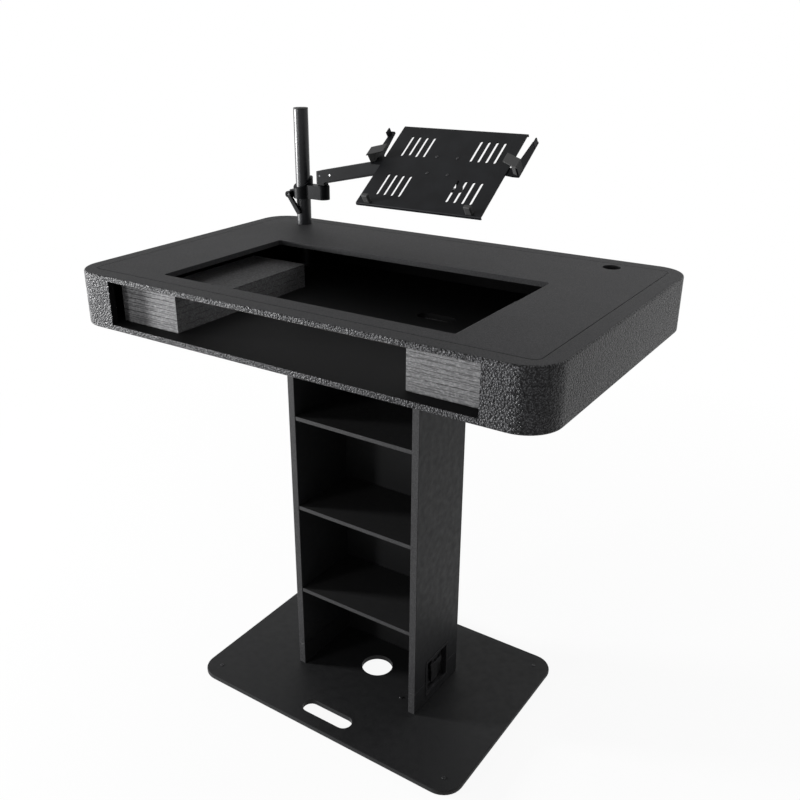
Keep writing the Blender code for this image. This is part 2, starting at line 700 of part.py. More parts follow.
def foam_blocks():
    """Foam blocks at the ends of the bay: a full-height front wall, then a low seat behind it."""
    front = -TABLE_DEPTH / 2 + FOAM_RECESS
    wall_back = front + FOAM_FRONT_WALL
    seat_back = front + (CUT_OUT_FROM_SEAM + RIM_WIDTH - FOAM_RECESS) + CUT_OUT_DEPTH
    low, high = HOLLOW_FLOOR + GAP, LEDGE_BOTTOM - GAP
    seat = low + FOAM_SEAT_HEIGHT
    corners = [(seat_back, low, 0.002), (seat_back, seat, 0.004), (wall_back, seat, 0.003),
               (wall_back, high, 0.002), (front, high, 0)]
    cuts = int((high - low) / FOAM_CUT_PITCH)
    for index in range(cuts, 0, -1):
        level = low + index * FOAM_CUT_PITCH
        if level < high - FOAM_CUT_WIDTH * 2:
            corners += [(front, level + FOAM_CUT_WIDTH / 2, 0), (front + FOAM_CUT_DEPTH, level, 0),
                        (front, level - FOAM_CUT_WIDTH / 2, 0)]
    corners.append((front, low, 0))
    for name, side in (("left", -1), ("right", 1)):
        across = sorted((side * BAY_HALF, side * (BAY_HALF - FOAM_WIDTH)))
        add_object(f"foam_{name}", along_x(raised(filleted(corners, 3), across[0], across[1])), foam)


# Mast

def mast_parts():
    """A flanged socket at each back corner, the mast in the left one, and the mast's cap."""
    outer = MAST_DIAMETER / 2
    bore = MAST_HOLE / 2
    barrel = bore + SOCKET_WALL
    flange = barrel + SOCKET_FLANGE
    low = HOLLOW_FLOOR + GAP
    flange_top = low + SOCKET_FLANGE_HEIGHT
    profile = [(bore, low), (flange, low), (flange, flange_top - 0.001), (flange - 0.001, flange_top),
               (barrel, flange_top), (barrel, low + SOCKET_HEIGHT), (bore, low + SOCKET_HEIGHT)]
    for name, x in (("left", MAST_X), ("right", SPARE_X)):
        place = Vector((x, MAST_Y, 0))
        socket = moved(turned(profile, 28), Matrix.Translation(place))
        add_object(f"mast_socket_{name}", socket, black_metal, place)
    place = Vector((MAST_X, MAST_Y, 0))
    inner = outer - MAST_WALL
    top = TABLE_TOP + MAST_ABOVE_TABLE - CAP_HEIGHT
    tube = [(inner, low), (outer, low), (outer, top), (inner, top)]
    add_object("mast", moved(turned(tube, 36), Matrix.Translation(place)), black_metal, place)
    plug = inner - RUNNING
    plug_foot = top - 4 * CAP_HEIGHT
    cap = [(0, plug_foot), (plug, plug_foot), (plug, top + GAP), (outer, top + GAP),
           (outer, top + CAP_HEIGHT - 0.001), (outer - 0.001, top + CAP_HEIGHT), (0, top + CAP_HEIGHT)]
    add_object("mast_cap", moved(turned(cap, 36), Matrix.Translation(place)), rubber, place)


def collar():
    """A split clamp ring with a slanted top, its two lugs, and the link that carries the arm."""
    bore = MAST_DIAMETER / 2 + RUNNING
    outer = COLLAR_RADIUS
    place = Vector((MAST_X, MAST_Y, COLLAR_BOTTOM))
    ring = raised(circle((0, 0), outer, 40), 0, COLLAR_HEIGHT)
    for vertex in ring.verts:
        if vertex.co.z > COLLAR_HEIGHT / 2:
            vertex.co.z += vertex.co.x * COLLAR_SLOPE[0] + vertex.co.y * COLLAR_SLOPE[1]
    body = add_object("collar", moved(ring, Matrix.Translation(place)), black_metal, place)
    neck = LINK_RADIUS * 0.86
    tip = LINK_REACH + LINK_RADIUS
    link = filleted([(0, -neck, 0), (LINK_REACH, -LINK_RADIUS, 0), (tip, -LINK_RADIUS, LINK_RADIUS),
                     (tip, LINK_RADIUS, LINK_RADIUS), (LINK_REACH, LINK_RADIUS, 0), (0, neck, 0)], 8)
    link_solid = raised(link, 0.0012, LINK_HEIGHT)
    lug_end = -LUG_REACH - 0.008
    lugs = raised(filleted([(lug_end, -LUG_HALF_WIDTH, 0.006), (0, -LUG_HALF_WIDTH, 0),
                            (0, LUG_HALF_WIDTH, 0), (lug_end, LUG_HALF_WIDTH, 0.006)], 4),
                  LUG_FOOT, LUG_FOOT + LUG_HEIGHT)
    at_place = Matrix.Translation(place)
    join(body, moved(link_solid, at_place), moved(lugs, at_place))
    below, above = -5 * PAST, COLLAR_HEIGHT + outer * sum(COLLAR_SLOPE) + 5 * PAST
    slit = box((lug_end - PAST, -SLIT_WIDTH / 2, below), (0, SLIT_WIDTH / 2, above))
    mast_bore = rod((0, 0, below), (0, 0, above), bore, 40)
    pivot_bore = rod((LINK_REACH, 0, below), (LINK_REACH, 0, above), PIVOT_DIAMETER / 2, 28)
    bolt_height = LUG_FOOT + LUG_HEIGHT / 2
    bolt_end = Vector((0, LUG_HALF_WIDTH + PAST, 0))
    bolt_centre = Vector((-LUG_REACH, 0, bolt_height))
    bolt_hole = rod(bolt_centre - bolt_end, bolt_centre + bolt_end, BOLT_DIAMETER / 2 + RUNNING, 20)
    cut(body, *(moved(tool, at_place) for tool in (slit, mast_bore, pivot_bore, bolt_hole)))
    clamp_lever(place + Vector((-LUG_REACH, 0, bolt_height)))


def clamp_lever(centre):
    """The bolt through the lugs, and the cranked lever on its front end."""
    shank = BOLT_DIAMETER / 2
    head = 0.0055
    face = LUG_HALF_WIDTH + GAP
    arm_low = MAST_DIAMETER / 2 + 3 * RUNNING
    hub_end = arm_low + LEVER_THICKNESS
    profile = [(0, -hub_end + 0.003), (shank, -hub_end + 0.003), (shank, face), (head, face),
               (head, face + 0.004), (head - 0.001, face + 0.005), (0, face + 0.005)]
    lay = Matrix.Translation(centre) @ Matrix(((1, 0, 0, 0), (0, 0, 1, 0), (0, -1, 0, 0), (0, 0, 0, 1)))
    add_object("collar_bolt", moved(turned(profile, 20), lay), steel, centre)
    hub = 0.0075
    bore = shank + RUNNING / 2
    hub_profile = [(bore, face), (hub, face), (hub, hub_end), (bore, hub_end)]
    facing = Matrix.Translation(centre) @ Matrix(((1, 0, 0, 0), (0, 0, -1, 0), (0, 1, 0, 0), (0, 0, 0, 1)))
    lever = add_object("collar_lever", moved(turned(hub_profile, 24), facing), black_metal, centre)
    tip = 0.0055
    end = LEVER_LENGTH + tip
    arm = filleted([(hub * 0.8, -hub * 0.6, 0), (end, -tip, tip * 0.95), (end, tip, tip * 0.95),
                    (hub * 0.8, hub * 0.6, 0)], 5)
    swing = Matrix.Rotation(math.radians(LEVER_ANGLE), 4, "Z")
    join(lever, moved(raised(arm, arm_low, hub_end), facing @ swing))


# Sprung arm

def in_arm(point):
    """The matrix of a channel at rest, with x along the arm from one of its pins."""
    return Matrix.Translation(point) @ Matrix.Rotation(-math.radians(ARM_RISE), 4, "Y")


def plate_across(outline, half_width):
    """A solid of an x and z outline, across the arm."""
    return along_y(raised(outline, -half_width, half_width))


def level_in_arm(x, z):
    """Where a level offset (x, z) from a pin lies in the arm's own slanted frame."""
    return (x * math.cos(ARM_SLOPE) + z * math.sin(ARM_SLOPE),
            z * math.cos(ARM_SLOPE) - x * math.sin(ARM_SLOPE))


def upright_at(x, z):
    """The point of the arm's frame at height z on the upright line at level offset x."""
    return ((x + z * math.sin(ARM_SLOPE)) / math.cos(ARM_SLOPE), z)


def pin_hole(x, z, half_width):
    """A cutter along y through a pin's place."""
    return rod((x, -half_width, z), (x, half_width, z), PIN_DIAMETER / 2 + GAP, 20)


def upper_channel():
    """The arm's upper channel: open below and at its head end, with an upright end at the knuckle."""
    far = ARM_LENGTH + 0.011
    place = in_arm(UPPER_PIN)
    outline = filleted([(*level_in_arm(-ARM_END, -SKIRT_BELOW_PIN), 0.002),
                        (*level_in_arm(SKIRT_FRONT, -SKIRT_BELOW_PIN), 0.002),
                        (SKIRT_FRONT + 0.004, -ARM_BELOW_PIN, 0.004), (far, -ARM_BELOW_PIN + 0.002, 0.006),
                        (far, ARM_ABOVE_PIN - 0.001, 0.009), (*upright_at(-ARM_END, ARM_ABOVE_PIN), 0.003)])
    solid = moved(plate_across(outline, ARM_WIDTH / 2), place)
    channel = add_object("arm_channel", solid, black_metal, UPPER_PIN)
    roof = ARM_ABOVE_PIN - ARM_SHEET - RUNNING
    closed_above = 0.003
    inner_end = ARM_SHEET - ARM_END
    below, beyond = -2 * SKIRT_BELOW_PIN, far + 5 * PAST
    hollow = filleted([(*upright_at(inner_end, closed_above), 0), (-2 * ARM_END, closed_above, 0),
                       (-2 * ARM_END, below, 0), (beyond, below, 0), (beyond, roof - 0.001, 0),
                       (*upright_at(inner_end, roof), 0.003)], 5)
    cut(channel, moved(plate_across(hollow, ARM_WIDTH / 2 - ARM_SHEET), place))
    for side in (-1, 1):
        cut(channel, moved(end_corner(side), Matrix.Translation(UPPER_PIN)))
    for x in (0, ARM_LENGTH):
        cut(channel, moved(pin_hole(x, 0, ARM_WIDTH), place))
    for x in spring_axles():
        cut(channel, moved(pin_hole(x, -SPRING_BELOW_PIN, ARM_WIDTH), place))


def end_corner(side):
    """A cutter that rounds one upright edge of the arm's end at the knuckle.

    Its arc stops a few degrees short of each face, so that the cutter crosses the face.
    """
    radius = ARM_END_CORNER
    x, y = radius - ARM_END, ARM_WIDTH / 2 - radius
    first, last, steps = 94, 176, 5
    turns = [math.radians(first + (last - first) * step / steps) for step in range(steps + 1)]
    arc = [(x + radius * math.cos(turn), y + radius * math.sin(turn)) for turn in turns]
    outside = [(-ARM_END - PAST, arc[-1][1]), (-ARM_END - PAST, ARM_WIDTH / 2 + PAST),
               (arc[0][0], ARM_WIDTH / 2 + PAST)]
    corner = [(across, side * along) for across, along in arc + outside]
    return raised(corner, -2 * SKIRT_BELOW_PIN, 2 * ARM_ABOVE_PIN)


def lower_channel():
    """The arm's lower channel, nested in the upper one, with a web along its underside."""
    end = 0.0085
    far = ARM_LENGTH + end
    place = in_arm(LOWER_PIN)
    outline = filleted([(-end, -LOWER_BELOW_PIN, 0.006), (far, -LOWER_BELOW_PIN, 0.006),
                        (far, LOWER_ABOVE_PIN, 0.004), (-end, LOWER_ABOVE_PIN, 0.004)], 5)
    solid = moved(plate_across(outline, LOWER_WIDTH / 2), place)
    link = add_object("arm_link", solid, black_metal, LOWER_PIN)
    web = -LOWER_BELOW_PIN + ARM_SHEET
    web_start, web_end = 0.0145, ARM_LENGTH - 0.010
    reach = 2 * LOWER_BELOW_PIN
    hollow = [(-reach, -reach), (web_start, -reach), (web_start, web), (web_end, web), (web_end, -reach),
              (far + PAST, -reach), (far + PAST, reach), (-reach, reach)]
    cut(link, moved(plate_across(hollow, LOWER_WIDTH / 2 - LOWER_SHEET), place))
    for x in (0, ARM_LENGTH):
        cut(link, moved(pin_hole(x, 0, ARM_WIDTH), place))


def spring_axles():
    """Where the gas spring's cross axles sit along the arm."""
    return (SPRING_FROM_KNUCKLE, ARM_LENGTH - SPRING_FROM_HEAD)


def gas_spring():
    """The gas spring inside the arm, with a cross axle at each end."""
    start, end = spring_axles()
    place = in_arm(UPPER_PIN)
    z = -SPRING_BELOW_PIN
    body_end = start + (end - start) * 0.62
    radius = SPRING_DIAMETER / 2
    foot, eye = start - 0.008, 0.005
    profile = [(0, foot), (radius - 0.001, foot), (radius, foot + 0.001), (radius, body_end - 0.001),
               (radius - 0.001, body_end), (SPRING_ROD / 2, body_end), (SPRING_ROD / 2, end - eye - 0.002),
               (eye, end - eye), (eye, end + eye), (0, end + eye)]
    lay = Matrix(((0, 0, 1, 0), (0, 1, 0, 0), (-1, 0, 0, z), (0, 0, 0, 1)))
    body = add_object("gas_spring", moved(turned(profile, 20), place @ lay), steel, UPPER_PIN)
    half = ARM_WIDTH / 2 - RUNNING
    for x in (start, end):
        join(body, moved(rod((x, -half, z), (x, half, z), PIN_DIAMETER / 2, 20), place))


def tongue(top, bottom, radius):
    """A rounded tongue in x and z, about two pins one above the other."""
    return filleted([(-radius, bottom, 0), (radius, bottom, 0), (radius, top + radius, radius * 0.98),
                     (-radius, top + radius, radius * 0.98)], 6)


def pins(prefix, upper):
    """The two pins of a joint of the parallelogram."""
    lower = upper - Vector((0, 0, PIN_SPACING))
    for name, centre, width in (("upper", upper, ARM_WIDTH), ("lower", lower, LOWER_WIDTH)):
        across = Vector((0, width / 2 - GAP, 0))
        solid = rod(centre - across, centre + across, PIN_DIAMETER / 2, 20)
        add_object(f"{prefix}_pin_{name}", solid, black_metal, centre)


def knuckle():
    """The knuckle: a spigot down through the link, a round boss, and a tongue into the arm."""
    boss_low = LINK_TOP + GAP
    boss_high = LOWER_PIN.z - LOWER_BELOW_PIN - BOSS_BELOW_CHANNEL
    radius = KNUCKLE_DIAMETER / 2
    spigot = PIVOT_DIAMETER / 2 - RUNNING / 2
    foot = COLLAR_BOTTOM + 0.003
    place = Vector((KNUCKLE_X, MAST_Y, 0))
    profile = [(0, foot), (spigot - 0.001, foot), (spigot, foot + 0.001), (spigot, boss_low),
               (radius, boss_low), (radius, boss_high - 0.0015), (radius - 0.0015, boss_high), (0, boss_high)]
    body = add_object("knuckle", moved(turned(profile), Matrix.Translation(place)), black_metal, place)
    rise = plate_across(tongue(0, boss_high - UPPER_PIN.z - PAST, TONGUE_RADIUS), TONGUE_WIDTH / 2)
    join(body, moved(rise, Matrix.Translation(UPPER_PIN)))
    for pin in (UPPER_PIN, LOWER_PIN):
        cut(body, moved(pin_hole(0, 0, ARM_WIDTH), Matrix.Translation(pin)))
    pins("knuckle", UPPER_PIN)


def head():
    """The head block: a tongue in the arm's end and a round boss with a bore for the yoke."""
    radius = HEAD_DIAMETER / 2
    low, high = HEAD_BOTTOM, HEAD_PIN.z + 0.009
    place = Vector((HEAD_X, MAST_Y, 0))
    profile = [(0, low), (radius - 0.001, low), (radius, low + 0.001), (radius, high - 0.0015),
               (radius - 0.0015, high), (0, high)]
    body = add_object("head_block", moved(turned(profile), Matrix.Translation(place)), black_metal, place)
    round_end = TONGUE_RADIUS - 0.001
    tongue_low = -PIN_SPACING - 0.0055
    outline = filleted([(-round_end, tongue_low, 0.005), (HEAD_REACH, tongue_low, 0),
                        (HEAD_REACH, round_end, 0), (-round_end, round_end, round_end * 0.98)], 6)
    join(body, moved(plate_across(outline, TONGUE_WIDTH / 2), Matrix.Translation(HEAD_PIN)))
    for drop in (0, PIN_SPACING):
        cut(body, moved(pin_hole(0, -drop, ARM_WIDTH), Matrix.Translation(HEAD_PIN)))
    roof = low + SPIGOT_HEIGHT + PAST
    cut(body, rod((HEAD_X, MAST_Y, low - PAST), (HEAD_X, MAST_Y, roof), HEAD_PIVOT / 2, 28))
    pins("head", HEAD_PIN)


def yoke():
    """The yoke: a spigot and disc under the head, a flat arm, and two ears for the tilt pin."""
    place = Vector((HEAD_X, MAST_Y, 0))
    disc = HEAD_DIAMETER / 2 + 0.001
    top = HEAD_BOTTOM - GAP
    spigot = HEAD_PIVOT / 2 - RUNNING / 2
    profile = [(0, YOKE_BOTTOM), (disc, YOKE_BOTTOM), (disc, top - 0.001), (disc - 0.001, top),
               (spigot, top), (spigot, top + SPIGOT_HEIGHT), (0, top + SPIGOT_HEIGHT)]
    body = add_object("tilt_yoke", moved(turned(profile), Matrix.Translation(place)), black_metal, place)
    outer = EAR_GAP / 2 + EAR_THICKNESS
    ear_radius = BARREL_RADIUS + 0.001
    left, right = TILT_PIN.x - outer, TILT_PIN.x + outer
    front, back = TILT_PIN.y - ear_radius, TILT_PIN.y + ear_radius
    arm = filleted([(left, front, 0.003), (right, front, 0.004), (right, back, 0.004),
                    (left + 0.030, back, 0.012), (HEAD_X + disc * 0.5, MAST_Y + disc * 0.86, 0),
                    (HEAD_X - disc * 0.7, MAST_Y, 0), (HEAD_X - disc * 0.25, MAST_Y - disc * 0.95, 0)], 5)
    join(body, raised(arm, YOKE_BOTTOM, YOKE_BOTTOM + YOKE_PLATE))
    root = YOKE_BOTTOM + YOKE_PLATE / 2 - TILT_PIN.z
    ear = filleted([(ear_radius, root, 0), (ear_radius, ear_radius, ear_radius * 0.98),
                    (-ear_radius, ear_radius, ear_radius * 0.98), (-ear_radius, root, 0)], 6)
    at_pin = Matrix.Translation(TILT_PIN)
    for side in (-1, 1):
        across = sorted((side * EAR_GAP / 2, side * outer))
        join(body, moved(along_x(raised(ear, across[0], across[1])), at_pin))
    hole = TILT_PIN_DIAMETER / 2 + RUNNING / 2
    cut(body, moved(rod((-outer - PAST, 0, 0), (outer + PAST, 0, 0), hole, 24), at_pin))
    shank = TILT_PIN_DIAMETER / 2
    knob = 0.0075
    end = outer + GAP
    bolt = [(0, -end), (shank, -end), (shank, end), (knob, end), (knob, end + 0.005),
            (knob - 0.001, end + 0.006), (0, end + 0.006)]
    lay = at_pin @ Matrix(((0, 0, 1, 0), (0, 1, 0, 0), (-1, 0, 0, 0), (0, 0, 0, 1)))
    add_object("tilt_bolt", moved(turned(bolt, 24), lay), steel, TILT_PIN)


def in_tray(point=(0, 0, 0)):
    """The matrix of the tilted frame: its origin is the tilt pin and z is the plate's normal."""
    tilt = Matrix.Rotation(math.radians(TILT_ANGLE), 4, "X")
    return Matrix.Translation(TILT_PIN) @ tilt @ Matrix.Translation(point)


def tilt_plate():
    """The round plate that the tray is bolted to, on its barrel."""
    low, high = PLATE_STAND_OFF - GAP - PLATE_SHEET, PLATE_STAND_OFF - GAP
    radius = PLATE_DIAMETER / 2
    disc = [(0, low), (radius - 0.0008, low), (radius, low + 0.0008), (radius, high), (0, high)]
    body = add_object("tilt_plate", moved(turned(disc, 40), in_tray()), black_metal, TILT_PIN)
    half = EAR_GAP / 2 - RUNNING
    web = filleted([(-0.006, 0, 0), (0.006, 0, 0), (0.013, low + 0.001, 0), (-0.013, low + 0.001, 0)], 3)
    join(body, moved(rod((-half, 0, 0), (half, 0, 0), BARREL_RADIUS, 28), in_tray()))
    join(body, moved(along_x(raised(web, -0.016, 0.016)), in_tray()))
    hole = TILT_PIN_DIAMETER / 2 + RUNNING / 2
    cut(body, moved(rod((-half - PAST, 0, 0), (half + PAST, 0, 0), hole, 24), in_tray()))


# Device tray

def tray():
    """A folded sheet with a down-turned front and back flange, vents and two stop blocks."""
    low, high = PLATE_STAND_OFF, PLATE_STAND_OFF + TRAY_SHEET
    drop = low - TRAY_FLANGE
    bend = 0.003
    front, back = -TRAY_FRONT, TRAY_BACK
    sheet_front, sheet_back = front + TRAY_SHEET, back - TRAY_SHEET
    inside = bend - TRAY_SHEET
    section = filleted([(front, drop, 0), (sheet_front, drop, 0), (sheet_front, low, inside),
                        (sheet_back, low, inside), (sheet_back, drop, 0), (back, drop, 0),
                        (back, high, bend), (front, high, bend)], 4)
    sheet = along_x(raised(section, -TRAY_WIDTH / 2, TRAY_WIDTH / 2))
    body = add_object("tray_plate", moved(sheet, in_tray()), black_metal, in_tray().translation)
    for side in (-1, 1):
        for index in range(VENT_COUNT):
            x = side * (PLATE_DIAMETER / 2 + VENT_INSET + VENT_PITCH * index)
            for y in (front + VENT_FROM_EDGE, back - VENT_FROM_EDGE):
                vent = rounded_rectangle(VENT_WIDTH, VENT_LENGTH, VENT_WIDTH / 2 - 0.0001, (x, y), 2)
                cut(body, moved(raised(vent, low - PAST, high + PAST), in_tray()))
    seat = high + GAP
    for name, side in (("left", -1), ("right", 1)):
        x, y = side * (TRAY_WIDTH / 2 - STOP_INSET - STOP_WIDTH / 2), front + STOP_FROM_FRONT + STOP_DEPTH / 2
        outline = rounded_rectangle(STOP_WIDTH, STOP_DEPTH, 0.003, (x, y), 4)
        slope = 0.0015
        crown = rounded_rectangle(STOP_WIDTH - 2 * slope, STOP_DEPTH - 2 * slope, 0.002, (x, y), 4)
        top = seat + STOP_HEIGHT
        block = layered([(outline, seat), (outline, top - slope), (crown, top)])
        add_object(f"tray_stop_{name}", moved(block, in_tray()), rubber, in_tray((x, y, seat)).translation)


def clamps():
    """Sliding side clamps: a flat bar under the tray, an upturned cheek, and a soft jaw."""
    high = PLATE_STAND_OFF - GAP
    low = high - CLAMP_SHEET
    tray_top = PLATE_STAND_OFF + TRAY_SHEET
    cheek_top = tray_top + CLAMP_RISE
    half = CLAMP_BAR_WIDTH / 2
    jaw_half = JAW_LENGTH / 2
    reach = CLAMP_REACH
    cheek_outer = reach - GAP
    cheek_inner = cheek_outer - CLAMP_SHEET
    finger = FINGER_BACK
    bar = filleted([(CLAMP_INNER, -half, 0.004), (reach - 0.030, -half, 0.006),
                    (reach - 0.014, -jaw_half, 0.004), (reach, -jaw_half, 0.002), (reach, finger, 0.002),
                    (reach - 0.012, finger, 0.004), (reach - 0.020, half, 0.012),
                    (CLAMP_INNER, half, 0.004)], 4)
    for name, side in (("left", -1), ("right", 1)):
        place = in_tray() @ mirrored(side)
        arm = add_object(f"clamp_arm_{name}", moved(raised(bar, low, high), place), black_metal,
                         in_tray((side * reach, 0, low)).translation)
        root = low + 0.0005
        cheek = box((cheek_inner, PAST - jaw_half, root), (cheek_outer, jaw_half - PAST, cheek_top))
        rear = box((cheek_inner, finger - FINGER_LENGTH, root),
                   (cheek_outer, finger - 0.003, cheek_top - 0.010))
        join(arm, moved(cheek, place), moved(rear, place))
        slot = rounded_rectangle(CLAMP_SLOT_LENGTH, CLAMP_SLOT_WIDTH, CLAMP_SLOT_WIDTH / 2 - 0.0001,
                                 (CLAMP_INNER + CLAMP_SLOT_LENGTH * 0.75, 0), 4)
        cut(arm, moved(raised(slot, low - PAST, high + PAST), place))
        inner = cheek_inner - GAP
        floor = tray_top + GAP
        back, tip = inner - JAW_DEPTH, inner - JAW_HOLD
        crest = cheek_top + JAW_LIP
        hook = filleted([(back, floor, 0.001), (inner, floor, 0), (inner, cheek_top + GAP, 0),
                         (reach + 0.001, cheek_top + GAP, 0), (reach + 0.001, crest, 0.002),
                         (tip, crest, 0.0015), (tip, cheek_top, 0.001), (back, cheek_top, 0.002)], 3)
        jaw = along_y(raised(hook, -jaw_half, jaw_half))
        for vertex in jaw.verts:
            vertex.co.y += (inner - vertex.co.x) * JAW_SLANT
        moved(jaw, place)
        add_object(f"clamp_jaw_{name}", jaw, rubber, in_tray((side * inner, 0, floor)).translation)


def clear_scene():
    for old in list(bpy.data.objects):
        bpy.data.objects.remove(old, do_unlink=True)


def main():
    clear_scene()
    base_plate()
    feet()
    plinth()
    column()
    shelves()
    latches()
    table_box()
    ledges()
    top_panel()
    foam_blocks()
    mast_parts()
    collar()
    upper_channel()
    lower_channel()
    gas_spring()
    knuckle()
    head()
    yoke()
    tilt_plate()
    tray()
    clamps()


main()
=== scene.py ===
# %% [markdown]
# A podium stand: its looks.
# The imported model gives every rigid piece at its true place, in metres, with z up. This lesson keeps
# those pieces as the frame, gives each of them a finish, and models again by hand what a plain solid
# can't show: the sprayed coat that wraps the table in one skin, the cut foam, the round steel, and
# the small screws.

# %% Load the frame
import math

import bmesh
import bpy
from mathutils import Matrix, Vector


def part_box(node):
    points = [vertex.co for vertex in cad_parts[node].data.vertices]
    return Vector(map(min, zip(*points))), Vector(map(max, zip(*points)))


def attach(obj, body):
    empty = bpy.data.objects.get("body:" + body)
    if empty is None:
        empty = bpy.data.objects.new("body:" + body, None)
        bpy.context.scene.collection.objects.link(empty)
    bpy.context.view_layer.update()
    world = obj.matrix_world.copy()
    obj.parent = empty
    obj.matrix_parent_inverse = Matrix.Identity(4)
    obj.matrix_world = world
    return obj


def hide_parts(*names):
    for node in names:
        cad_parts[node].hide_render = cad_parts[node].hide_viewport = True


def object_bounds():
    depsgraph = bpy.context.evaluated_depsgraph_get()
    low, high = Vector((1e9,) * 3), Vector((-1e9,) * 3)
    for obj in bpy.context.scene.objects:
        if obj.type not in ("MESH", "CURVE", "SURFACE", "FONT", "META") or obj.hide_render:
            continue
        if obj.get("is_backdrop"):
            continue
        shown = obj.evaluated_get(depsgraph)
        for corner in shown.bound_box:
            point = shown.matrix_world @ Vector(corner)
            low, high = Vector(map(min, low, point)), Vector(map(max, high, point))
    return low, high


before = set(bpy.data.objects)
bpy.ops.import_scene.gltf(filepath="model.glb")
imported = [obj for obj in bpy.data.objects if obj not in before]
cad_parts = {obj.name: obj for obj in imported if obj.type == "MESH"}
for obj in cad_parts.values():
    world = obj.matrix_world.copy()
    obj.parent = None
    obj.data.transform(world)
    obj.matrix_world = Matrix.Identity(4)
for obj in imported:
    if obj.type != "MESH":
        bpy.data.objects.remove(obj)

cad_low, cad_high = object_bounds()
size = cad_high - cad_low
print(f"frame: {len(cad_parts)} pieces, {size.x:.3f} x {size.y:.3f} x {size.z:.3f} m")

# %% [markdown]
# The camera.
# A product photograph is taken from a little above the table, off the right-hand corner. The lens
# and the place were solved beforehand from the straight edges of the boards, so they are written
# here as they are. The small shift stands for the picture having been cropped off its middle.

# %% Place the camera
focal_px = 896.5
centre_px = (358.5, 414.0)
frame_px = 800
camera_place = (0.9995, -1.4620, 1.4793)
azimuth, elevation, roll = (math.radians(angle) for angle in (-35.616, 23.834, -0.696))
forward = Vector((math.sin(azimuth) * math.cos(elevation), math.cos(azimuth) * math.cos(elevation),
                  -math.sin(elevation)))
level = Vector((math.cos(azimuth), -math.sin(azimuth), 0))
upright = level.cross(forward)
right = level * math.cos(roll) + upright * math.sin(roll)
up = upright * math.cos(roll) - level * math.sin(roll)
lens = bpy.data.cameras.new("camera")
lens.sensor_width = 36
lens.lens = focal_px / frame_px * lens.sensor_width
lens.shift_x = (frame_px / 2 - centre_px[0]) / frame_px
lens.shift_y = (centre_px[1] - frame_px / 2) / frame_px
lens.clip_start, lens.clip_end = 0.05, 60
camera = bpy.data.objects.new("camera", lens)
bpy.context.scene.collection.objects.link(camera)
camera.matrix_world = Matrix((right, up, -forward)).transposed().to_4x4()
camera.location = camera_place
bpy.context.scene.camera = camera
bpy.context.scene.view_settings.view_transform = "Standard"
print(f"lens {lens.lens:.1f} mm")

# %% [markdown]
# Floor and light.
# The stand is photographed on a white sweep. A pale floor that is partly lit by itself, but only for
# what the eye or a shiny surface sees directly, gives the white and still keeps the shadow. One lamp
# stands low on the left at the table's own height: it skims the front, so that the grain of the
# coat sparkles, and leaves the top dark. A tall strip in front of it draws the bright line down the
# mast. Two weak ones, on the right and behind, lift the side and the top.

# %% Lay the floor
def seen_directly(tree):
    """1 for a ray from the camera, off a shiny surface or through a clear one, else 0."""
    rays = tree.nodes.new("ShaderNodeLightPath")
    total = rays.outputs["Is Camera Ray"]
    for kind in ("Is Glossy Ray", "Is Transmission Ray"):
        add = tree.nodes.new("ShaderNodeMath")
        add.operation = "MAXIMUM"
        tree.links.new(total, add.inputs[0])
        tree.links.new(rays.outputs[kind], add.inputs[1])
        total = add.outputs[0]
    return total


floor_span = 40
near_foot, far_off = 0.5, 2.4
own_light_near, own_light_far = 0.93, 1.0
bpy.ops.mesh.primitive_plane_add(size=floor_span, location=(0, 0, 0))
floor = bpy.context.object
floor.name = "floor"
floor_finish = bpy.data.materials.new("pale_floor")
floor_finish.use_nodes = True
tree = floor_finish.node_tree
paint = tree.nodes["Principled BSDF"]
paint.inputs["Base Color"].default_value = (0.86, 0.86, 0.86, 1)
paint.inputs["Roughness"].default_value = 0.9
glow = tree.nodes.new("ShaderNodeEmission")
glow.inputs["Color"].default_value = (1, 1, 1, 1)
away = tree.nodes.new("ShaderNodeVectorMath")
away.operation = "LENGTH"
tree.links.new(tree.nodes.new("ShaderNodeTexCoord").outputs["Object"], away.inputs[0])
fade = tree.nodes.new("ShaderNodeMapRange")
fade.inputs["From Min"].default_value = near_foot
fade.inputs["From Max"].default_value = far_off
fade.inputs["To Min"].default_value = own_light_near
fade.inputs["To Max"].default_value = own_light_far
tree.links.new(away.outputs["Value"], fade.inputs["Value"])
share = tree.nodes.new("ShaderNodeMath")
share.operation = "MULTIPLY"
tree.links.new(fade.outputs["Result"], share.inputs[1])
blend = tree.nodes.new("ShaderNodeMixShader")
tree.links.new(seen_directly(tree), share.inputs[0])
tree.links.new(share.outputs[0], blend.inputs["Fac"])
tree.links.new(paint.outputs[0], blend.inputs[1])
tree.links.new(glow.outputs[0], blend.inputs[2])
tree.links.new(blend.outputs[0], tree.nodes["Material Output"].inputs["Surface"])
floor.data.materials.append(floor_finish)
floor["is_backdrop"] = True
print(f"floor: {floor_span} m across")

# %% Hang the lamps
world = bpy.data.worlds.new("studio")
bpy.context.scene.world = world
world.use_nodes = True
tree = world.node_tree
soft = tree.nodes["Background"]
soft.inputs["Color"].default_value = (0.8, 0.8, 0.8, 1)
soft.inputs["Strength"].default_value = 0.19
white = tree.nodes.new("ShaderNodeBackground")
white.inputs["Color"].default_value = (1, 1, 1, 1)
pick = tree.nodes.new("ShaderNodeMixShader")
tree.links.new(seen_directly(tree), pick.inputs["Fac"])
tree.links.new(soft.outputs[0], pick.inputs[1])
tree.links.new(white.outputs[0], pick.inputs[2])
tree.links.new(pick.outputs[0], tree.nodes["World Output"].inputs["Surface"])


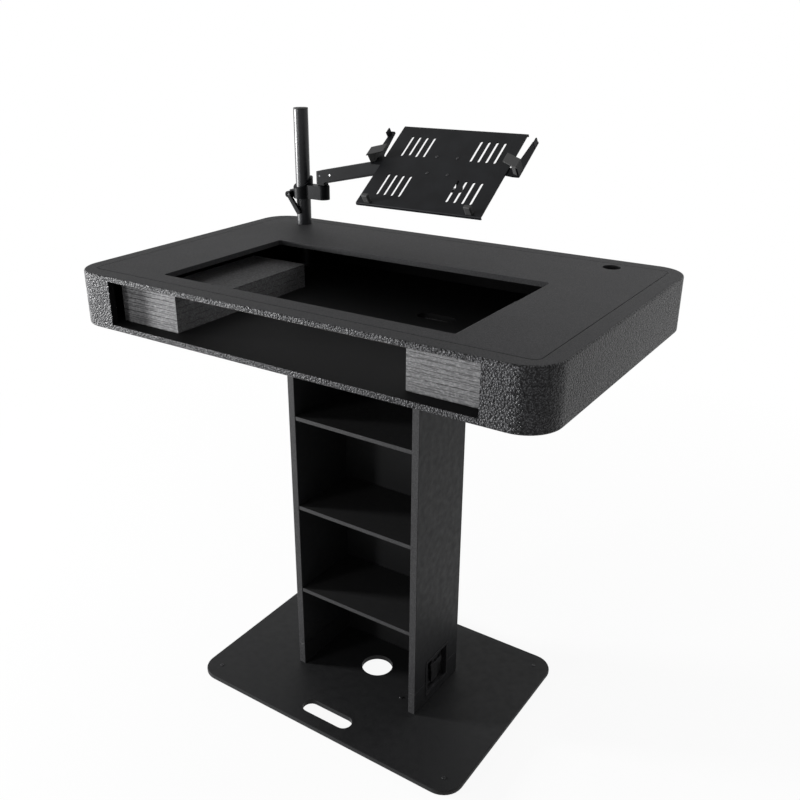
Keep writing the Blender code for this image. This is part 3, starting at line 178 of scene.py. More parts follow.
def hang_lamp(name, place, target, width, height, power):
    """A soft box at a place, facing a target."""
    light = bpy.data.lights.new(name, "AREA")
    light.shape = "RECTANGLE"
    light.size, light.size_y = width, height
    light.energy = power
    lamp = bpy.data.objects.new(name, light)
    bpy.context.scene.collection.objects.link(lamp)
    lamp.location = place
    lamp.rotation_euler = (Vector(target) - Vector(place)).to_track_quat("-Z", "Y").to_euler()


hang_lamp("lamp_left", place=(-5.0, -2.3, 1.02), target=(-0.1, -0.3, 0.95),
          width=0.8, height=0.8, power=760)
hang_lamp("lamp_strip", place=(-1.55, -2.9, 1.25), target=(-0.3, 0, 1.0),
          width=0.35, height=1.3, power=36)
hang_lamp("lamp_right", place=(2.8, 1.3, 1.7), target=(0.4, 0, 0.8),
          width=1.4, height=1.4, power=3)
hang_lamp("lamp_top", place=(0.7, 1.6, 2.8), target=(0.1, 0, 0.9),
          width=1.2, height=1.2, power=15)
print(len(bpy.data.lights), "lamps")

# %% [markdown]
# How a finish is built.
# Each finish is one Principled shader. Two or three noise patterns in the object's own metres drive
# its colour, its roughness and a bump, so that grain has the same real size on every piece. Bump
# distance is written in metres too. A bump only tilts the light and moves nothing, so the coat's
# is set deeper than its real grain.

# %% Helpers that start a finish and join its nodes
def new_finish(name, roughness, metallic=0.0, gloss=0.5):
    """An empty finish, with object coordinates ready to use; gloss is the specular level."""
    made = bpy.data.materials.new(name)
    made.use_nodes = True
    nodes = made.node_tree.nodes
    shader = nodes["Principled BSDF"]
    shader.inputs["Roughness"].default_value = roughness
    shader.inputs["Metallic"].default_value = metallic
    shader.inputs["Specular IOR Level"].default_value = gloss
    return made, nodes.new("ShaderNodeTexCoord").outputs["Object"]


def link(finish, start, end):
    """Join an output to an input."""
    finish.node_tree.links.new(start, end)


def feed(finish, value, socket):
    """Set a socket to a number or a colour, or join an output to it."""
    if isinstance(value, (int, float)):
        socket.default_value = value
    elif isinstance(value, tuple):
        socket.default_value = (*value, 1)
    else:
        link(finish, value, socket)


def shader_of(finish):
    """The one Principled shader of a finish."""
    return finish.node_tree.nodes["Principled BSDF"]


def cover(finish, shade, rough):
    """Let two patterns drive the colour and the roughness of a finish."""
    link(finish, shade, shader_of(finish).inputs["Base Color"])
    link(finish, rough, shader_of(finish).inputs["Roughness"])


print("joining helpers ready")

# %% Helpers for patterns, colours and relief
def noise(finish, place, scale, detail=3.0, stretch=(1, 1, 1)):
    """Noise with features about 1/scale metres wide; stretch lengthens them along an axis."""
    nodes = finish.node_tree.nodes
    mapping = nodes.new("ShaderNodeMapping")
    mapping.inputs["Scale"].default_value = tuple(1 / factor for factor in stretch)
    pattern = nodes.new("ShaderNodeTexNoise")
    pattern.inputs["Scale"].default_value = scale
    pattern.inputs["Detail"].default_value = detail
    link(finish, place, mapping.inputs["Vector"])
    link(finish, mapping.outputs[0], pattern.inputs["Vector"])
    return pattern.outputs["Fac"]


def pebbles(finish, place, scale):
    """Rounded cells, for a sprayed coat or the pores of foam."""
    pattern = finish.node_tree.nodes.new("ShaderNodeTexVoronoi")
    pattern.feature = "SMOOTH_F1"
    pattern.inputs["Scale"].default_value = scale
    pattern.inputs["Smoothness"].default_value = 0.6
    link(finish, place, pattern.inputs["Vector"])
    return pattern.outputs["Distance"]


def ramp(finish, value, stops):
    """Colours or greys read from a value; stops are (position, colour)."""
    node = finish.node_tree.nodes.new("ShaderNodeValToRGB")
    points = node.color_ramp.elements
    while len(points) < len(stops):
        points.new(0.5)
    for point, (position, colour) in zip(points, stops):
        point.position = position
        point.color = (*colour, 1) if len(colour) == 3 else (colour[0],) * 3 + (1,)
    link(finish, value, node.inputs["Fac"])
    return node.outputs["Color"]


def between(finish, value, low, high):
    """A value between low and high, from a pattern between 0.3 and 0.7."""
    node = finish.node_tree.nodes.new("ShaderNodeMapRange")
    node.inputs["From Min"].default_value, node.inputs["From Max"].default_value = 0.3, 0.7
    node.inputs["To Min"].default_value, node.inputs["To Max"].default_value = low, high
    link(finish, value, node.inputs["Value"])
    return node.outputs["Result"]


def mixed(finish, share, first, second, how="MIX"):
    """Two colours mixed by a value."""
    node = finish.node_tree.nodes.new("ShaderNodeMix")
    node.data_type = "RGBA"
    node.blend_type = how
    for value, socket in ((share, node.inputs[0]), (first, node.inputs[6]), (second, node.inputs[7])):
        feed(finish, value, socket)
    return node.outputs[2]


def calculate(finish, operation, first, second=0):
    """One Math node; a value may be a number or a socket."""
    node = finish.node_tree.nodes.new("ShaderNodeMath")
    node.operation = operation
    for value, socket in zip((first, second), node.inputs):
        feed(finish, value, socket)
    return node.outputs[0]


def bump(finish, height, depth, strength=1.0, sunk=False):
    """Raise the surface by a pattern, depth metres high, or sink it; bumps add up."""
    node = finish.node_tree.nodes.new("ShaderNodeBump")
    node.invert = sunk
    node.inputs["Distance"].default_value = depth
    node.inputs["Strength"].default_value = strength
    link(finish, height, node.inputs["Height"])
    normal = shader_of(finish).inputs["Normal"]
    if normal.is_linked:
        link(finish, normal.links[0].from_socket, node.inputs["Normal"])
    link(finish, node.outputs[0], normal)


def front_band(finish, place, front, depth):
    """1 on what lies at most a depth behind a board's front edge, else 0."""
    parts = finish.node_tree.nodes.new("ShaderNodeSeparateXYZ")
    link(finish, place, parts.inputs[0])
    return calculate(finish, "LESS_THAN", parts.outputs["Y"], front + depth)


print("pattern helpers ready")

# %% [markdown]
# The coats.
# The walls carry a sprayed coat: hard pebbles three to four millimetres across, charcoal, with the
# crests painted paler as a painted highlight and the hollows between them kept dark as painted shade.
# The lift-out panel and the top of the rim have the same coat, rolled finer. The sparkle comes from
# relief and from that painted highlight: smooth cells turned upside down make the round crests, and a
# finer noise breaks them up. Inside the bay the boards are only painted, near black: partly their own
# black paint, partly painted shade for the closed bay.

# %% Coarse and fine coat, and the paint inside
def sprayed_coat(name, dark, pale, pebble, depth, roughness, gloss):
    """A textured coat with a painted highlight on its crests: pebble is the cells per metre, depth the
    height of the grain.
    """
    finish, place = new_finish(name, roughness, gloss=gloss)
    cells = pebbles(finish, place, pebble)
    crumbs = noise(finish, place, pebble * 1.6, 3.0)
    worn = noise(finish, place, 14, 2.0)
    speckle = ramp(finish, crumbs, [(0.38, dark), (0.64, pale)])
    # Painted highlight and shade: the crests of the pebbles take the pale speckle, and the hollows
    # between them stay dark.
    crest_highlight = mixed(finish, ramp(finish, cells, [(0.15, (1,)), (0.75, (0,))]), dark, speckle)
    wear = ramp(finish, worn, [(0.35, (0.85,)), (0.65, (1.1,))])
    shade = mixed(finish, 0.35, crest_highlight, wear, "MULTIPLY")
    rough = between(finish, crumbs, roughness + 0.08, roughness - 0.08)
    cover(finish, shade, rough)
    bump(finish, cells, depth, 1.0, sunk=True)
    bump(finish, crumbs, depth * 0.6, 0.8)
    return finish


coarse_coat = sprayed_coat("coarse_coat", dark=(0.007, 0.007, 0.0078), pale=(0.142, 0.143, 0.151),
                           pebble=290, depth=0.0028, roughness=0.34, gloss=0.12)
fine_coat = sprayed_coat("fine_coat", dark=(0.026, 0.026, 0.0275), pale=(0.058, 0.058, 0.061),
                         pebble=600, depth=0.00025, roughness=0.62, gloss=0.12)
# Inside paint: the boards' own black paint, set darker still as painted shade inside the closed bay.
inner_paint_and_shade = sprayed_coat("inner_paint_and_shade", dark=(0.005, 0.005, 0.0053), pale=(0.008, 0.008, 0.0084),
                           pebble=900, depth=0.00008, roughness=0.60, gloss=0.05)
print(coarse_coat.name, fine_coat.name, inner_paint_and_shade.name)

# %% [markdown]
# The laminate boards.
# Column, shelves and floor plate are faced in a matt near-black laminate with a faint orange-peel. The
# floor plate's copy is darker: partly its own tone, partly painted shade for the base under the table.
# The boards' front edges are filled and painted, and look greyer and rougher than the faces, so the
# finish tells the edge by its place: it is what lies within a millimetre of the board's front.

# %% Laminate with a grey front edge
edge_skin = 0.0009
darkest, palest = 0.94, 1.06


def board_finish(name, colour, front=None):
    """Matt laminate; front is the y of a grey painted front edge, if the board has one."""
    finish, place = new_finish(name, 0.55, gloss=0.15)
    peel = noise(finish, place, 900, 3.0)
    cloud = noise(finish, place, 9, 3.0)
    dark, pale = (tuple(part * share for part in colour) for share in (darkest, palest))
    shade = mixed(finish, cloud, dark, pale)
    rough = between(finish, noise(finish, place, 60, 4.0), 0.46, 0.60)
    if front is not None:
        edge = front_band(finish, place, front, edge_skin)
        grain = noise(finish, place, 700, 4.0)
        filler = ramp(finish, grain, [(0.35, (0.012, 0.012, 0.0125)), (0.65, (0.036, 0.036, 0.0375))])
        shade = mixed(finish, edge, shade, filler)
    cover(finish, shade, rough)
    bump(finish, peel, 0.00012, 0.6)
    return finish


column_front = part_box("column_left")[0].y
shelf_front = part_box("shelf_top")[0].y
# Darker than the column's laminate: partly its own tone, partly painted shade for the base under the
# table; the back boards take it too.
plate_laminate = board_finish("plate_laminate", (0.0120, 0.0122, 0.0128))
column_laminate = board_finish("column_laminate", (0.0165, 0.0168, 0.0178), column_front)
shelf_laminate = board_finish("shelf_laminate", (0.016, 0.016, 0.0165), shelf_front)
batten_wood = board_finish("batten_wood", (0.05, 0.045, 0.04))
print("boards:", plate_laminate.name, column_laminate.name, shelf_laminate.name)

# %% [markdown]
# Foam, rubber and metal.
# Foam is grey and full of pores, with torn lines that waver from sheet to sheet. Rubber is nearly
# black and drinks the light. The mast, the tray and the arm are painted a bluish black: satin on the
# mast, duller on the others, with a coarser peel on the castings. The bolts and the gas spring are
# plated, with faint draw lines, and the screws, pins and latches are blackened.

# %% Foam
sheet_pitch = 0.0125
waver_height = 0.006
cut_share = 0.075
whole_share = 0.47
grey_foam, place = new_finish("grey_foam", 0.95)
pores = pebbles(grey_foam, place, 700)
fibres = noise(grey_foam, place, 330, 5.0, (1.8, 1, 0.8))
foam_shade = ramp(grey_foam, fibres, [(0.36, (0.082, 0.082, 0.085)), (0.52, (0.112, 0.112, 0.115)),
                                      (0.66, (0.165, 0.165, 0.169))])
axes = grey_foam.node_tree.nodes.new("ShaderNodeSeparateXYZ")
link(grey_foam, place, axes.inputs[0])
waver = calculate(grey_foam, "MULTIPLY", noise(grey_foam, place, 60, 3.0, (1, 1, 3)), waver_height)
wavy_height = calculate(grey_foam, "ADD", axes.outputs["Z"], waver)
sheets = calculate(grey_foam, "DIVIDE", wavy_height, sheet_pitch)
off_middle = calculate(grey_foam, "SUBTRACT", calculate(grey_foam, "FRACT", sheets), 0.5)
near_cut = calculate(grey_foam, "LESS_THAN", calculate(grey_foam, "ABSOLUTE", off_middle), cut_share)
dashes = noise(grey_foam, place, 130, 2.0, (1.6, 1, 1))
torn = calculate(grey_foam, "GREATER_THAN", dashes, whole_share)
cut_line = calculate(grey_foam, "MULTIPLY", near_cut, torn)
foam_shade = mixed(grey_foam, cut_line, foam_shade, (0.050, 0.050, 0.052))
cover(grey_foam, foam_shade, between(grey_foam, fibres, 0.99, 0.85))
shader_of(grey_foam).inputs["Sheen Weight"].default_value = 0.10
bump(grey_foam, pores, 0.0006, 0.7)
bump(grey_foam, fibres, 0.0008, 0.8)
bump(grey_foam, cut_line, 0.0015, 0.8, sunk=True)
print(grey_foam.name)

# %% Rubber and metals
moulded_rubber, place = new_finish("moulded_rubber", 0.75)
grain = noise(moulded_rubber, place, 1300, 3.0)
rubber_shade = ramp(moulded_rubber, grain, [(0.3, (0.010, 0.010, 0.010)), (0.7, (0.019, 0.019, 0.0195))])
cover(moulded_rubber, rubber_shade, between(moulded_rubber, grain, 0.66, 0.84))
bump(moulded_rubber, grain, 0.00008, 0.6)


def painted_metal(name, dark, pale, roughness, peel, gloss):
    """Paint on metal, with a fine peel of so many bumps per metre."""
    finish, place = new_finish(name, roughness, gloss=gloss)
    fine = noise(finish, place, peel, 2.0)
    shade = ramp(finish, noise(finish, place, 25, 3.0), [(0.35, dark), (0.65, pale)])
    rough = between(finish, fine, roughness - 0.05, roughness + 0.06)
    cover(finish, shade, rough)
    bump(finish, fine, 0.00006, 0.5)
    return finish


powder_coat = painted_metal("powder_coat", dark=(0.007, 0.0075, 0.009), pale=(0.010, 0.0108, 0.013),
                            roughness=0.34, peel=1500, gloss=0.30)
tray_paint = painted_metal("tray_paint", dark=(0.0045, 0.0047, 0.0055), pale=(0.0075, 0.008, 0.0092),
                           roughness=0.46, peel=1500, gloss=0.10)
cast_paint = painted_metal("cast_paint", dark=(0.0040, 0.0042, 0.0049), pale=(0.0062, 0.0066, 0.0076),
                           roughness=0.42, peel=700, gloss=0.05)

zinc, place = new_finish("zinc_plate", 0.32, 1.0)
streaks = noise(zinc, place, 600, 4.0, (1, 1, 6))
zinc_shade = ramp(zinc, streaks, [(0.3, (0.30, 0.30, 0.31)), (0.7, (0.46, 0.46, 0.47))])
cover(zinc, zinc_shade, between(zinc, streaks, 0.25, 0.42))
bump(zinc, streaks, 0.00003, 0.5)

black_zinc, place = new_finish("black_zinc", 0.42, 0.7)
film = noise(black_zinc, place, 900, 3.0)
film_shade = ramp(black_zinc, film, [(0.3, (0.018, 0.018, 0.020)), (0.7, (0.050, 0.050, 0.052))])
cover(black_zinc, film_shade, between(black_zinc, film, 0.32, 0.50))
bump(black_zinc, film, 0.00003, 0.5)
for made in (moulded_rubber, powder_coat, tray_paint, cast_paint, zinc, black_zinc):
    print(made.name)

# %% [markdown]
# Modelling helpers.
# Pieces are made with the same operators as by hand. An operator acts on all that is selected, so
# each step first deselects everything, then selects faces or edges by where they are.

# %% Helpers for modelling
facing = 0.9


def clean_start():
    """Leave edit mode and deselect everything."""
    if bpy.context.mode != "OBJECT":
        bpy.ops.object.mode_set(mode="OBJECT")
    bpy.ops.object.select_all(action="DESELECT")


def add_cube(name, low, high):
    """A cube primitive stretched between two corners, open in edit mode."""
    clean_start()
    low, high = Vector(low), Vector(high)
    bpy.ops.mesh.primitive_cube_add(size=1, location=(low + high) / 2)
    piece = bpy.context.object
    piece.scale = high - low
    return open_piece(piece, name)


def add_round(name, foot, radius, height, axis=(0, 0, 1), sides=48):
    """A cylinder primitive that stands on foot along an axis, open in edit mode."""
    clean_start()
    axis = Vector(axis).normalized()
    bpy.ops.mesh.primitive_cylinder_add(vertices=sides, radius=radius, depth=height,
                                        location=Vector(foot) + axis * height / 2,
                                        rotation=axis.to_track_quat("Z", "Y").to_euler())
    return open_piece(bpy.context.object, name)


def open_piece(piece, name):
    """Name a new primitive, settle its size and open it in edit mode."""
    piece.name = piece.data.name = name
    bpy.ops.object.transform_apply(location=True, rotation=True, scale=True)
    bpy.ops.object.mode_set(mode="EDIT")
    bpy.ops.mesh.select_all(action="DESELECT")
    return piece


def select(piece, kind, test):
    """Select the faces or edges, in edit mode, that pass a test."""
    bpy.ops.mesh.select_mode(type=kind)
    bpy.ops.mesh.select_all(action="DESELECT")
    mesh = bmesh.from_edit_mesh(piece.data)
    for element in (mesh.faces if kind == "FACE" else mesh.edges):
        if test(element):
            element.select_set(True)
    mesh.select_flush_mode()
    bmesh.update_edit_mesh(piece.data)


def stands_up(edge):
    """True if an edge stands upright."""
    run = (edge.verts[1].co - edge.verts[0].co).normalized()
    return abs(run.z) > 0.999


def round_edges(piece, test, width, segments):
    """Bevel the edges that pass a test."""
    select(piece, "EDGE", test)
    bpy.ops.mesh.bevel(offset=width, segments=segments, affect="EDGES", clamp_overlap=True)


def at_height(edge, height):
    """True if an edge lies level at a height."""
    return all(abs(end.co.z - height) < 1e-5 for end in edge.verts)


def cut_away(piece, cutter):
    """Take a cutter's space out of a piece with an applied Boolean, and delete the cutter."""
    clean_start()
    boolean = piece.modifiers.new("cut", "BOOLEAN")
    boolean.operation = "DIFFERENCE"
    boolean.solver = "EXACT"
    boolean.object = cutter
    bpy.context.view_layer.objects.active = piece
    bpy.ops.object.modifier_apply(modifier=boolean.name)
    bpy.data.objects.remove(cutter, do_unlink=True)


def apply_bevel(piece, width, segments=2, angle=40):
    """Soften every sharp edge with an applied Bevel."""
    clean_start()
    bevel = piece.modifiers.new("soft_edges", "BEVEL")
    bevel.width = width
    bevel.segments = segments
    bevel.limit_method = "ANGLE"
    bevel.angle_limit = math.radians(angle)
    bevel.harden_normals = False
    bpy.context.view_layer.objects.active = piece
    bpy.ops.object.modifier_apply(modifier=bevel.name)


def dress(piece, finish, body, stands_for=(), smooth=32):
    """Close a piece: smooth shading, its finish, the body it rides on and what it stands for."""
    clean_start()
    piece.select_set(True)
    bpy.context.view_layer.objects.active = piece
    bpy.ops.object.shade_smooth_by_angle(angle=math.radians(smooth))
    level_faces = piece.modifiers.new("level_faces", "WEIGHTED_NORMAL")
    level_faces.keep_sharp = True
    bpy.ops.object.modifier_apply(modifier=level_faces.name)
    piece.data.materials.clear()
    piece.data.materials.append(finish)
    if stands_for:
        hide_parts(*stands_for)
    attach(piece, body)
    return piece


print("modelling helpers ready")

# %% [markdown]
# The table's shell.
# On the real table the floor board, the walls and the rim are glued up and then sprayed, so the coat
# hides every joint. One block is rounded at its upright corners and at its lower and upper edges,
# then hollowed: a cutter for the inside, one for the panel's opening, one for the bay's mouth and
# one for the cable slot. The cutters take their places from the frame, so the shell fits the rest.
# The faces inside then take the near-black paint, which is partly painted shade, and the top of the rim
# the finer coat.

# %% Shape the shell
floor_low, floor_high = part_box("table_floor")
rim_low, rim_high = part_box("table_rim")
panel_low, panel_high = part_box("top_panel")
bay_half = -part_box("foam_left")[0].x
wall_board = 0.015
corner = 0.065
lip_round = 0.004
panel_corner = 0.015
shell_edge = 0.0011
past = 0.002


def at_a_lip(edge):
    """True if an edge lies at the shell's foot or at its top."""
    return at_height(edge, floor_low.z) or at_height(edge, rim_high.z)


shell = add_cube("table_shell", floor_low, rim_high)
round_edges(shell, stands_up, corner, segments=14)
round_edges(shell, at_a_lip, lip_round, segments=4)
inside = add_cube("inside", (floor_low.x + wall_board, floor_low.y + wall_board, floor_high.z),
                  (floor_high.x - wall_board, floor_high.y - wall_board, rim_low.z))
round_edges(inside, stands_up, corner - wall_board, segments=14)
cut_away(shell, inside)
seam = 0.0006
opening = add_cube("opening", (panel_low.x - seam, panel_low.y - seam, rim_low.z - past),
                   (panel_high.x + seam, panel_high.y + seam, rim_high.z + past))
round_edges(opening, stands_up, panel_corner, segments=8)
cut_away(shell, opening)
before_wall, behind_wall = 0.01, 0.04
mouth_front, mouth_back = floor_low.y - before_wall, floor_low.y + behind_wall
mouth = add_cube("mouth", (-bay_half, mouth_front, floor_high.z), (bay_half, mouth_back, rim_low.z))
cut_away(shell, mouth)
slot_left, slot_right, slot_front, slot_back = 0.060, 0.146, 0.051, 0.085
slot_round = 0.0168
slot_cutter = add_cube("slot", (slot_left, slot_front, floor_low.z - past),
                       (slot_right, slot_back, floor_high.z + past))
round_edges(slot_cutter, stands_up, slot_round, segments=8)
cut_away(shell, slot_cutter)
apply_bevel(shell, shell_edge, angle=50)
dress(shell, coarse_coat, "stand", ("table_floor", "table_wall", "table_rim"))
print(f"shell: {len(shell.data.polygons)} faces")

# %% Paint the shell's inside near black, partly as painted shade, and the top of its rim
for finish in (inner_paint_and_shade, fine_coat):
    shell.data.materials.append(finish)
inside_slot, rim_slot = 1, 2
skin = 0.0015
painted = 0


def depth_inside(point):
    """How far a point lies inside the shell's outline, seen from above."""
    over_x = abs(point.x) - (floor_high.x - corner)
    over_y = abs(point.y) - (floor_high.y - corner)
    if over_x > 0 and over_y > 0:
        return corner - math.hypot(over_x, over_y)
    return corner - max(over_x, over_y)


for face in shell.data.polygons:
    if face.normal.z > facing and face.center.z > rim_high.z - skin:
        face.material_index = rim_slot
    if depth_inside(face.center) > skin and floor_low.z + skin < face.center.z < rim_high.z - skin:
        face.material_index = inside_slot
        painted += 1
print(painted, "faces of the shell are inside")

# %% [markdown]
# The foam blocks.
# The foam is built up from sheets glued flat and then sliced, so its front shows level cut lines
# with a torn, dashed look. A block is bisected at each line, the thin strip between two cuts is
# pushed in, and the low seat behind the front wall is cut from the same block. Both blocks are
# shaped in the same way, each at its own place.

# %% Shape the two blocks
front_wall = 0.038
seat_height = 0.053
cut_pitch = 0.0088
cut_width = 0.0006
cut_depth = 0.0015
cut_count = 9
foam_edge = 0.0003
past_block = 0.01


def cut_level(height):
    """Divide all faces of the piece in edit mode at a height."""
    bpy.ops.mesh.select_all(action="SELECT")
    bpy.ops.mesh.bisect(plane_co=(0, 0, height), plane_no=(0, 0, 1))


def shape_foam(name, node):
    """A foam block with its seat and its cut lines, in the place of a frame piece."""
    low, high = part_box(node)
    wall_back = low.y + front_wall
    seat = low.z + seat_height
    block = add_cube(name, low, high)
    bpy.ops.mesh.select_all(action="SELECT")
    bpy.ops.mesh.bisect(plane_co=(0, wall_back, 0), plane_no=(0, 1, 0))
    bpy.ops.object.mode_set(mode="OBJECT")
    back = add_cube("back", (low.x - past_block, wall_back, seat),
                    (high.x + past_block, high.y + past_block, high.z + past_block))
    cut_away(block, back)
    bpy.context.view_layer.objects.active = block
    bpy.ops.object.mode_set(mode="EDIT")
    lines = [low.z + cut_pitch * step for step in range(1, cut_count + 1)]
    lines = [line for line in lines if line < high.z - 2 * cut_width]
    for line in lines:
        cut_level(line - cut_width / 2)
        cut_level(line + cut_width / 2)

    def in_a_line(face):
        height = face.calc_center_median().z
        return face.normal.y < -facing and any(abs(height - line) < cut_width / 2 for line in lines)

    select(block, "FACE", in_a_line)
    bpy.ops.mesh.extrude_region_move(TRANSFORM_OT_translate={"value": (0, cut_depth, 0)})
    apply_bevel(block, foam_edge, segments=1, angle=60)
    dress(block, grey_foam, "stand", (node,))
    return block


for side in ("left", "right"):
    made = shape_foam(f"foam_block_{side}", f"foam_{side}")
    print(made.name, len(made.data.polygons), "faces")

# %% [markdown]
# Keeping a frame piece, but smoother.
# Cast and folded pieces have the right shape already. A frame piece is loose triangles, so a copy is
# merged, its sharp edges take a small bevel, and it is shaded smooth up to an angle. The copy then
# stands for the piece.

# %% Copy, merge and soften
same_point = 0.000005
same_plane = math.radians(0.5)


def smooth_copy(node, finish, body, bevel=0.0004, angle=30):
    """A merged copy of a frame piece with softened edges."""
    clean_start()
    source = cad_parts[node]
    piece = bpy.data.objects.new(f"{node}_skin", source.data.copy())
    bpy.context.scene.collection.objects.link(piece)
    piece.data.materials.clear()
    piece.select_set(True)
    bpy.context.view_layer.objects.active = piece
    if piece.data.has_custom_normals:
        bpy.ops.mesh.customdata_custom_splitnormals_clear()
    bpy.ops.object.mode_set(mode="EDIT")
    bpy.ops.mesh.select_all(action="SELECT")
    bpy.ops.mesh.remove_doubles(threshold=same_point)
    bpy.ops.mesh.dissolve_limited(angle_limit=same_plane)
    bpy.ops.object.mode_set(mode="OBJECT")
    if bevel:
        apply_bevel(piece, bevel, angle=angle)
    return dress(piece, finish, body, (node,), angle)


# Each row: the piece, its finish, its body, its slot and the width of its soft edges
skins = [
    ("collar", cast_paint, "collar", "black_casting", 0.0006),
    ("collar_lever", cast_paint, "lever", "black_casting", 0.0006),
    ("collar_bolt", zinc, "collar", "bare_steel", 0.0002),
    ("knuckle", cast_paint, "knuckle", "black_casting", 0.0004),
    ("arm_channel", cast_paint, "arm", "black_casting", 0.0012),
    ("arm_link", cast_paint, "arm_link", "black_casting", 0.0003),
    ("gas_spring", zinc, "arm", "bare_steel", 0.0),
    ("head_block", cast_paint, "head", "black_casting", 0.0004),
    ("tilt_yoke", cast_paint, "yoke", "black_casting", 0.0004),
    ("tilt_plate", tray_paint, "tilt", "black_steel", 0.0003),
    ("tray_plate", tray_paint, "tray", "black_steel", 0.0003),
    ("clamp_arm_left", tray_paint, "clamp_left", "black_steel", 0.0003),
    ("clamp_arm_right", tray_paint, "clamp_right", "black_steel", 0.0003),
    ("clamp_jaw_left", moulded_rubber, "clamp_left", "black_rubber", 0.0003),
    ("clamp_jaw_right", moulded_rubber, "clamp_right", "black_rubber", 0.0003),
    ("tray_stop_left", moulded_rubber, "tray", "black_rubber", 0.0003),
    ("tray_stop_right", moulded_rubber, "tray", "black_rubber", 0.0003),
    ("base_plate", plate_laminate, "stand", "dark_laminate", 0.0),
    ("top_panel", fine_coat, "stand", "top_coat", 0.0),
]
for side in ("left", "right"):
    skins += [(f"latch_dish_{side}", black_zinc, "stand", "black_steel", 0.0002),
              (f"latch_strike_{side}", black_zinc, "stand", "black_steel", 0.0002),
              (f"latch_handle_{side}", black_zinc, f"latch_handle_{side}", "black_steel", 0.0004),
              (f"latch_hook_{side}", black_zinc, f"latch_hook_{side}", "black_steel", 0.0003),
              (f"mast_socket_{side}", powder_coat, "stand", "black_steel", 0.0002)]
for node, finish, body, slot_name, bevel in skins:
    made = smooth_copy(node, finish, body, bevel)
    print(made.name, len(made.data.polygons), "faces")

# %% [markdown]
# The mast and its cap.
# A steel tube shows every facet of a coarse cylinder as a stripe, so it is modelled with many sides.
# Its ends are inset and the top is pushed down for the bore. The cap is round at its upper edge and
# has a plug below that stands in the bore.

# %% Tube and cap
mast_low, mast_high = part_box("mast")
mast_axis = (mast_low + mast_high) / 2
mast_radius = (mast_high.x - mast_low.x) / 2
tube_wall = 0.002
bore_depth = 0.06
plug_inset = 0.0027
cap_gap = 0.0003
cap_round = 0.0012
tube_edge = 0.0004
round_sides = 96
tube = add_round("mast_tube", (mast_axis.x, mast_axis.y, mast_low.z), mast_radius,
                 mast_high.z - mast_low.z, sides=round_sides)
select(tube, "FACE", lambda face: abs(face.normal.z) > facing)
bpy.ops.mesh.inset(thickness=tube_wall)
bore_area = math.pi * (mast_radius - 1.5 * tube_wall) ** 2
select(tube, "FACE", lambda face: face.normal.z > facing and face.calc_area() > bore_area)
bpy.ops.mesh.extrude_region_move(TRANSFORM_OT_translate={"value": (0, 0, -bore_depth)})
apply_bevel(tube, tube_edge, angle=60)
dress(tube, powder_coat, "mast", ("mast",))
cap_low, cap_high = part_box("mast_cap")
cap_foot = mast_high.z + cap_gap
cap = add_round("mast_end_cap", (mast_axis.x, mast_axis.y, cap_foot), mast_radius,
                cap_high.z - cap_foot, sides=round_sides)
round_edges(cap, lambda edge: at_height(edge, cap_high.z), cap_round, segments=4)
select(cap, "FACE", lambda face: face.normal.z < -facing)
bpy.ops.mesh.inset(thickness=plug_inset)
bpy.ops.mesh.extrude_region_move(TRANSFORM_OT_translate={"value": (0, 0, cap_low.z - cap_foot)})
dress(cap, moulded_rubber, "mast", ("mast_cap",))
print(tube.name, cap.name)

# %% [markdown]
# Screws and bolts.
# Boards, latches and tray are held by small black cross-head screws, which show as dark buttons. One
# of each size is modelled: a low cylinder whose top is domed by a bevel and whose cross is two bars
# cut into it. They are then copied to each place, each copy with its own mesh.

# %% Model a screw of each size and copy it
dome_share = 0.55
cross_floor = 0.45
bar_length, bar_width = 0.55, 0.11


def make_screw(name, radius, height):
    """A cross-head screw standing on the origin; its details are shares of radius and height."""
    screw = add_round(name, (0, 0, 0), radius, height, sides=20)
    round_edges(screw, lambda edge: at_height(edge, height), height * dome_share, segments=3)
    half = (radius * bar_length, radius * bar_width)
    for turn in (0, 1):
        low = Vector((-half[turn], -half[1 - turn], height * cross_floor))
        bar = add_cube(f"bar_{turn}", low, (half[turn], half[1 - turn], height * 2))
        cut_away(screw, bar)
    clean_start()
    return screw


def place_copy(master, name, place, axis, body):
    """A copy of a screw, stood at a place along an axis."""
    copy = bpy.data.objects.new(name, master.data.copy())
    bpy.context.scene.collection.objects.link(copy)
    turn = Vector(axis).to_track_quat("Z", "Y").to_matrix().to_4x4()
    copy.data.transform(Matrix.Translation(Vector(place)) @ turn)
    return dress(copy, black_zinc, body, smooth=40)


flange_inset = 0.0036
flange_half = 0.0452
front_screw_x, front_screw_y = 0.110, -0.063
inner_screw_height = 0.031
above_seam = 0.040
tray_screw_half = 0.024
upward = (0, 0, 1)
wood_screw = make_screw("wood_screw", radius=0.0042, height=0.0012)
small_screw = make_screw("small_screw", radius=0.0030, height=0.0009)
plate_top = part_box("base_plate")[1].z
count = 0
for node in ("foot_front_left", "foot_front_right", "foot_back_left", "foot_back_right"):
    foot_low, foot_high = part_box(node)
    middle = (foot_low + foot_high) / 2
    place_copy(wood_screw, f"screw_over_{node}", (middle.x, middle.y, plate_top), upward, "stand")
    count += 1
for side, sign in (("left", -1), ("right", 1)):
    dish_low, dish_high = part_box(f"latch_dish_{side}")
    strike_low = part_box(f"latch_strike_{side}")[0]
    outer = dish_high.x if sign > 0 else dish_low.x
    for row, height in (("top", dish_high.z - flange_inset), ("bottom", strike_low.z + flange_inset)):
        for end, y in (("front", -flange_half), ("back", flange_half)):
            name = f"latch_screw_{row}_{end}_{side}"
            place_copy(small_screw, name, (outer, y, height), (sign, 0, 0), "stand")
            count += 1
seam_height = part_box("plinth_right")[1].z
front_screw_place = (front_screw_x, front_screw_y, plate_top)
place_copy(wood_screw, "screw_column_front", front_screw_place, upward, "stand")
left_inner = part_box("plinth_left")[1].x
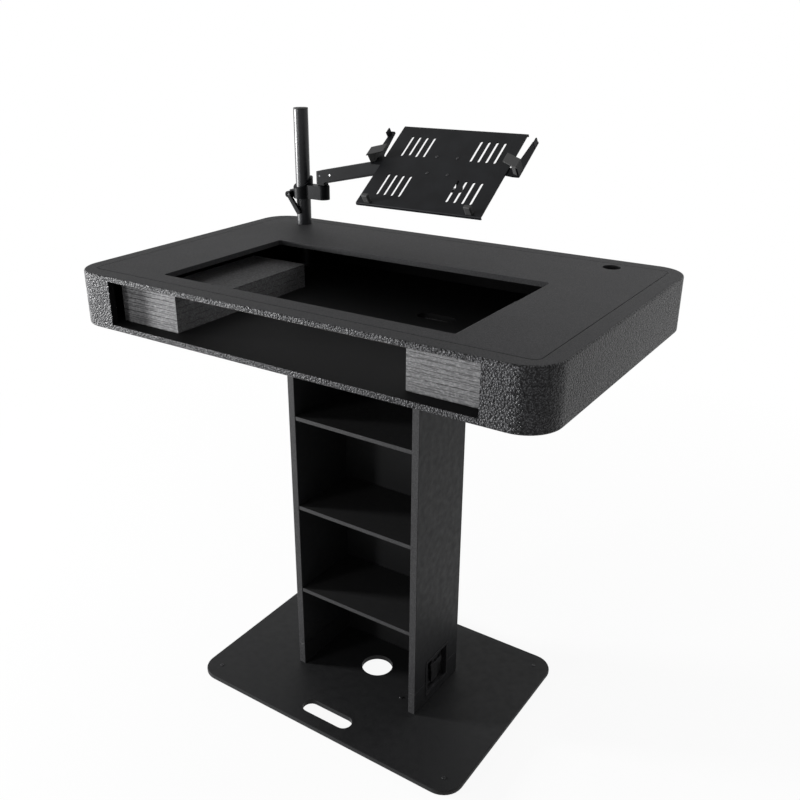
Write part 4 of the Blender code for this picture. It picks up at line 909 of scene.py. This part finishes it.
inner_screws = ((-0.035, inner_screw_height), (0.007, inner_screw_height),
                (-0.039, seam_height + above_seam))
for y, height in inner_screws:
    place_copy(small_screw, f"screw_inner_{count}", (left_inner, y, height), (1, 0, 0), "stand")
    count += 1
tray_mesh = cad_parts["tray_plate"].data
tray_face = max(tray_mesh.polygons, key=lambda face: face.area * (face.normal.z > 0))
tray_up = tray_face.normal.copy()
yoke_middle = sum(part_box("tilt_plate"), Vector()) / 2
face_middle = yoke_middle + tray_up * (tray_face.center - yoke_middle).dot(tray_up)
across = tray_up.cross(Vector(upward)).normalized() * tray_screw_half
downhill = tray_up.cross(across)
for offset in (across + downhill, across - downhill, -across + downhill, -across - downhill):
    place_copy(small_screw, f"tray_screw_{count}", face_middle + offset, tray_up, "tray")
    count += 1
for master in (wood_screw, small_screw):
    bpy.data.objects.remove(master, do_unlink=True)

# %% [markdown]
# Finishes for the pieces that stay.
# What is left of the frame keeps its mesh and only takes a finish.

# %% Dress the frame's pieces
stays = {
    column_laminate: ("column_left", "column_right", "plinth_left", "plinth_right"),
    plate_laminate: ("column_back", "plinth_back"),
    shelf_laminate: ("shelf_bottom", "shelf_middle", "shelf_top"),
    batten_wood: ("ledge_front", "ledge_back", "ledge_left", "ledge_right"),
    moulded_rubber: ("foot_front_left", "foot_front_right", "foot_back_left", "foot_back_right"),
    black_zinc: ("knuckle_pin_upper", "knuckle_pin_lower", "head_pin_upper", "head_pin_lower"),
    zinc: ("tilt_bolt",),
}
for finish, nodes in stays.items():
    for node in nodes:
        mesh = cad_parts[node].data
        mesh.materials.clear()
        mesh.materials.append(finish)
    print(finish.name, "on", len(nodes), "pieces")
shown = [name for name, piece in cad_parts.items() if not piece.hide_render]
plain = [name for name in shown if not any(name in nodes for nodes in stays.values())]
print("pieces of the frame without a finish:", plain)

# %% [markdown]
# Measure and finish.
# The looks must not change the stand's size, so the box is measured again and how far it grew on each
# side is printed.

# %% Write the sizes and close the scene
clean_start()
new_low, new_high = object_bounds()
grown = [round(value, 5) for value in (*(cad_low - new_low), *(new_high - cad_high))]
print("grown by", grown)
